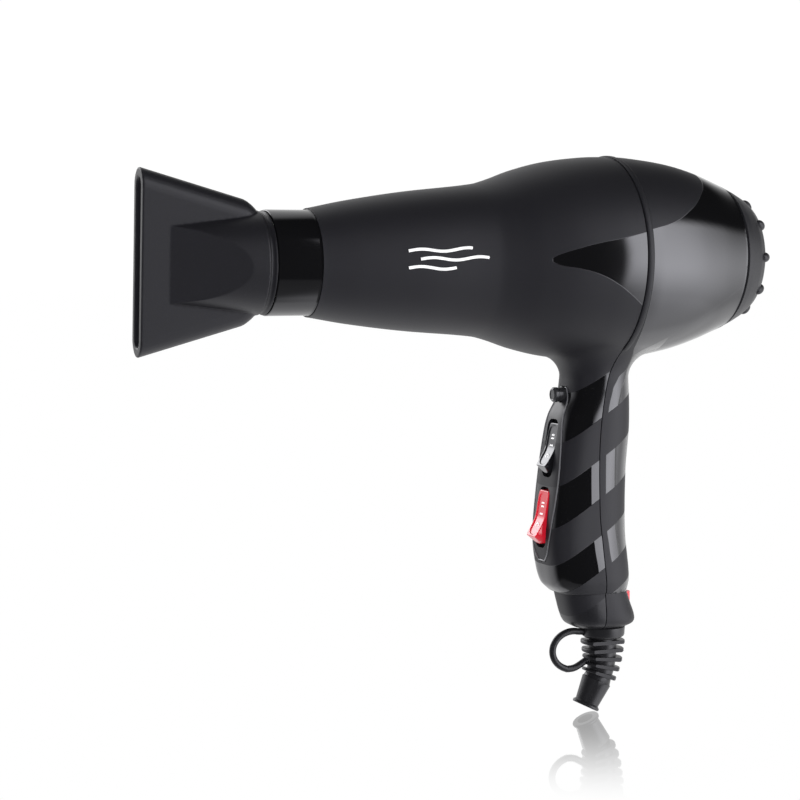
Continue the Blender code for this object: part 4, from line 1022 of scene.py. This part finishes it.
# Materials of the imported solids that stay: name, colour, roughness, grain, depth, variation and,
# for metals and mica, metallic and stretch
NODE_LOOKS = {
    "steel": ("drawn_steel", (0.58, 0.58, 0.6), 0.28, 1800.0, 0.000006, 0.06, 1.0, (1.0, 1.0, 12.0)),
    "copper": ("copper_wire", (0.7, 0.34, 0.18), 0.32, 2200.0, 0.00002, 0.1, 1.0, (1.0, 8.0, 8.0)),
    "bronze": ("sintered_bronze", (0.45, 0.31, 0.15), 0.42, 3000.0, 0.00002, 0.1, 1.0),
    "nichrome": ("resistance_wire", (0.42, 0.4, 0.38), 0.38, 2500.0, 0.00001, 0.15, 1.0),
    "nylon": ("natural_nylon", (0.6, 0.58, 0.52), 0.46, 1500.0, 0.00001, 0.05),
    "mica": ("mica_sheet", (0.5, 0.41, 0.28), 0.4, 500.0, 0.00004, 0.22, 0.0, (1.0, 4.0, 4.0)),
    "ceramic": ("steatite", (0.78, 0.76, 0.7), 0.44, 1800.0, 0.00001, 0.04),
    "carbon": ("pressed_carbon", (0.02, 0.02, 0.021), 0.6, 2600.0, 0.00003, 0.2),
    "switch_plastic": ("filled_plastic", (0.018, 0.018, 0.019), 0.45, 2200.0, 0.00002, 0.15),
    "cable_grey": ("wire_insulation", (0.16, 0.17, 0.19), 0.45, 900.0, 0.00001, 0.08),
}


def finish_nodes():
    looks = {slot: moulded(*look) for slot, look in NODE_LOOKS.items()}
    plain = moulded("plain_satin", SATIN_BLACK, 0.42, 2600.0, 0.00001, 0.08)
    slots = {entry["node"]: entry["material_slot"] for entry in frame["record"]["subparts"]}
    for name, node in frame["nodes"].items():
        node.data.materials.clear()
        node.data.materials.append(looks.get(slots[name], plain))


# Floor, light and camera
FLOOR_POLISH, SHEEN_HALF_WIDTH, SHEEN_HALF_DEPTH = 0.64, 0.09, 0.135
CAMERA_YAW, CAMERA_PITCH, CAMERA_LENS = radians(20.8), radians(3.976), 91.935
CAMERA_DISTANCE, CAMERA_ASIDE = 0.896, 0.088


def make_floor():
    """White, polished under the object; only the camera sees it, so the sky lights from below."""
    bm = bmesh.new()
    bmesh.ops.create_grid(bm, x_segments=1, y_segments=1, size=12.0)
    floor = added("floor", bm)
    floor.location.z = LOWEST_Z - 0.0002
    floor.visible_diffuse = floor.visible_glossy = floor.visible_shadow = False
    g = Graph("floor_white")
    g.nodes.remove(g.shader)
    x, y, _ = g.parts(g.place)
    x = g.sub(x, SEAM.x - 0.006)
    cosine, sine = cos(CAMERA_YAW), sin(CAMERA_YAW)
    across = g.sub(g.mul(x, cosine), g.mul(y, sine))
    ahead = g.add(g.add(g.mul(x, sine), g.mul(y, cosine)), 0.02)
    across = g.math("DIVIDE", across, SHEEN_HALF_WIDTH)
    ahead = g.math("DIVIDE", ahead, SHEEN_HALF_DEPTH)
    reach = g.math("SQRT", g.add(g.mul(across, across), g.mul(ahead, ahead)))
    fade = g.sub(1.0, g.step(reach, 0.5, 0.5))
    mirror = g.node("BsdfGlossy", Color=(1.0, 1.0, 1.0, 1.0), Roughness=0.03)
    polished = g.node("MixShader", Fac=g.mul(fade, FLOOR_POLISH))
    g.plug(polished.inputs[1], g.node("Emission").outputs[0])
    g.plug(polished.inputs[2], mirror.outputs[0])
    g.plug(g.nodes["Material Output"].inputs["Surface"], polished.outputs[0])
    floor.data.materials.append(g.material)


class Sky:
    """The studio as a function of direction: soft-edged lit patches round the object."""

    def __init__(self):
        world = bpy.data.worlds.new("studio")
        bpy.context.scene.world = world
        world.use_nodes = True
        self.nodes, self.links = world.node_tree.nodes, world.node_tree.links
        x, y, z = self.parts(self.node("TexCoord").outputs["Generated"])
        flat = self.math("SQRT", self.add(self.mul(x, x), self.mul(y, y)))
        self.turn = self.math("DEGREES", self.math("ARCTAN2", x, self.mul(y, -1.0)))
        self.height = self.math("DEGREES", self.math("ARCTAN2", z, flat))
        self.total = 0.0

    plug, node, math, parts = Graph.plug, Graph.node, Graph.math, Graph.parts
    add, sub, mul, ramp = Graph.add, Graph.sub, Graph.mul, Graph.ramp

    def patch(self, strength, left, right, low, high, lean=0.0):
        """A soft box between two turns and two heights, each a pair of dark and lit degrees."""
        height = self.add(self.height, self.mul(self.turn, lean))
        share = self.mul(self.ramp(self.turn, *left), self.ramp(self.turn, *right))
        share = self.mul(share, self.ramp(height, *low))
        share = self.mul(share, self.ramp(height, *high))
        self.light(self.mul(share, strength))

    def light(self, amount):
        self.total = self.add(self.total, amount)


FILL_POWER, BASE_LIGHT = 27.0, 0.015
# Lit patches: strength, then dark and lit degrees at the left, right, bottom and top, and the lean
PATCHES = (
    (3.4, (19, 26), (98, 36), (-32, 14), (63, 52), 0.45),
    (1.1, (22, 60), (135, 100), (-90, -70), (24, -12)),
    (1.0, (19, 26), (60, 38), (-46, 12), (63, 52), 0.45),
    (3.2, (-177, -171), (-140, -150), (4, 12), (50, 36)),
)


def make_light():
    """Dark studio, a tall softbox at the right, a white backdrop, and a fill that only adds colour."""
    sky = Sky()
    sky.light(BASE_LIGHT)
    away = sky.math("ABSOLUTE", sky.turn)
    behind = sky.ramp(away, 95, 135)
    sky.light(sky.mul(behind, sky.ramp(sky.height, 35, 10)))
    above = sky.sub(sky.ramp(sky.height, 80, 62), sky.ramp(sky.height, 35, 10))
    sky.light(sky.mul(sky.ramp(away, 135, 160), above))
    sky.light(sky.mul(sky.ramp(sky.height, -33, -38), 0.2))
    sky.light(sky.mul(sky.ramp(sky.height, -38, -75), 0.12))
    for patch in PATCHES:
        sky.patch(*patch)
    seen = sky.node("LightPath").outputs["Is Camera Ray"]
    background = sky.nodes["Background"]
    background.inputs["Color"].default_value = (1.0, 1.0, 1.0, 1.0)
    sky.plug(background.inputs["Strength"], sky.math("MAXIMUM", sky.total, seen))
    lamp = bpy.data.lights.new("front_fill", "AREA")
    lamp.shape, lamp.size, lamp.energy = "SQUARE", 1.2, FILL_POWER
    fill = linked(bpy.data.objects.new("front_fill", lamp))
    fill.location = SEAM + Vector((-0.9, -0.95, 0.0))
    fill.rotation_euler = (SEAM - fill.location).to_track_quat("-Z", "Y").to_euler()
    fill.visible_glossy = False


def make_camera():
    ahead = Vector((sin(CAMERA_YAW), cos(CAMERA_YAW), 0))
    right = Vector((cos(CAMERA_YAW), -sin(CAMERA_YAW), 0))
    data = bpy.data.cameras.new("camera")
    data.sensor_width = 36.0
    data.lens = CAMERA_LENS
    data.clip_start = 0.01
    camera = linked(bpy.data.objects.new("camera", data))
    camera.location = SEAM - CAMERA_ASIDE * right - CAMERA_DISTANCE * ahead
    camera.rotation_euler = (pi / 2 - CAMERA_PITCH, 0.0, -CAMERA_YAW)
    bpy.context.scene.camera = camera
    bpy.context.scene.view_settings.view_transform = "Standard"


make_camera()
make_light()
make_floor()
finish_nodes()
make_casing()
make_collar()
make_nozzle()
make_inlet_cap()
make_panel()
make_rockers()
make_button()
make_boot()
make_lens()
make_emblem()
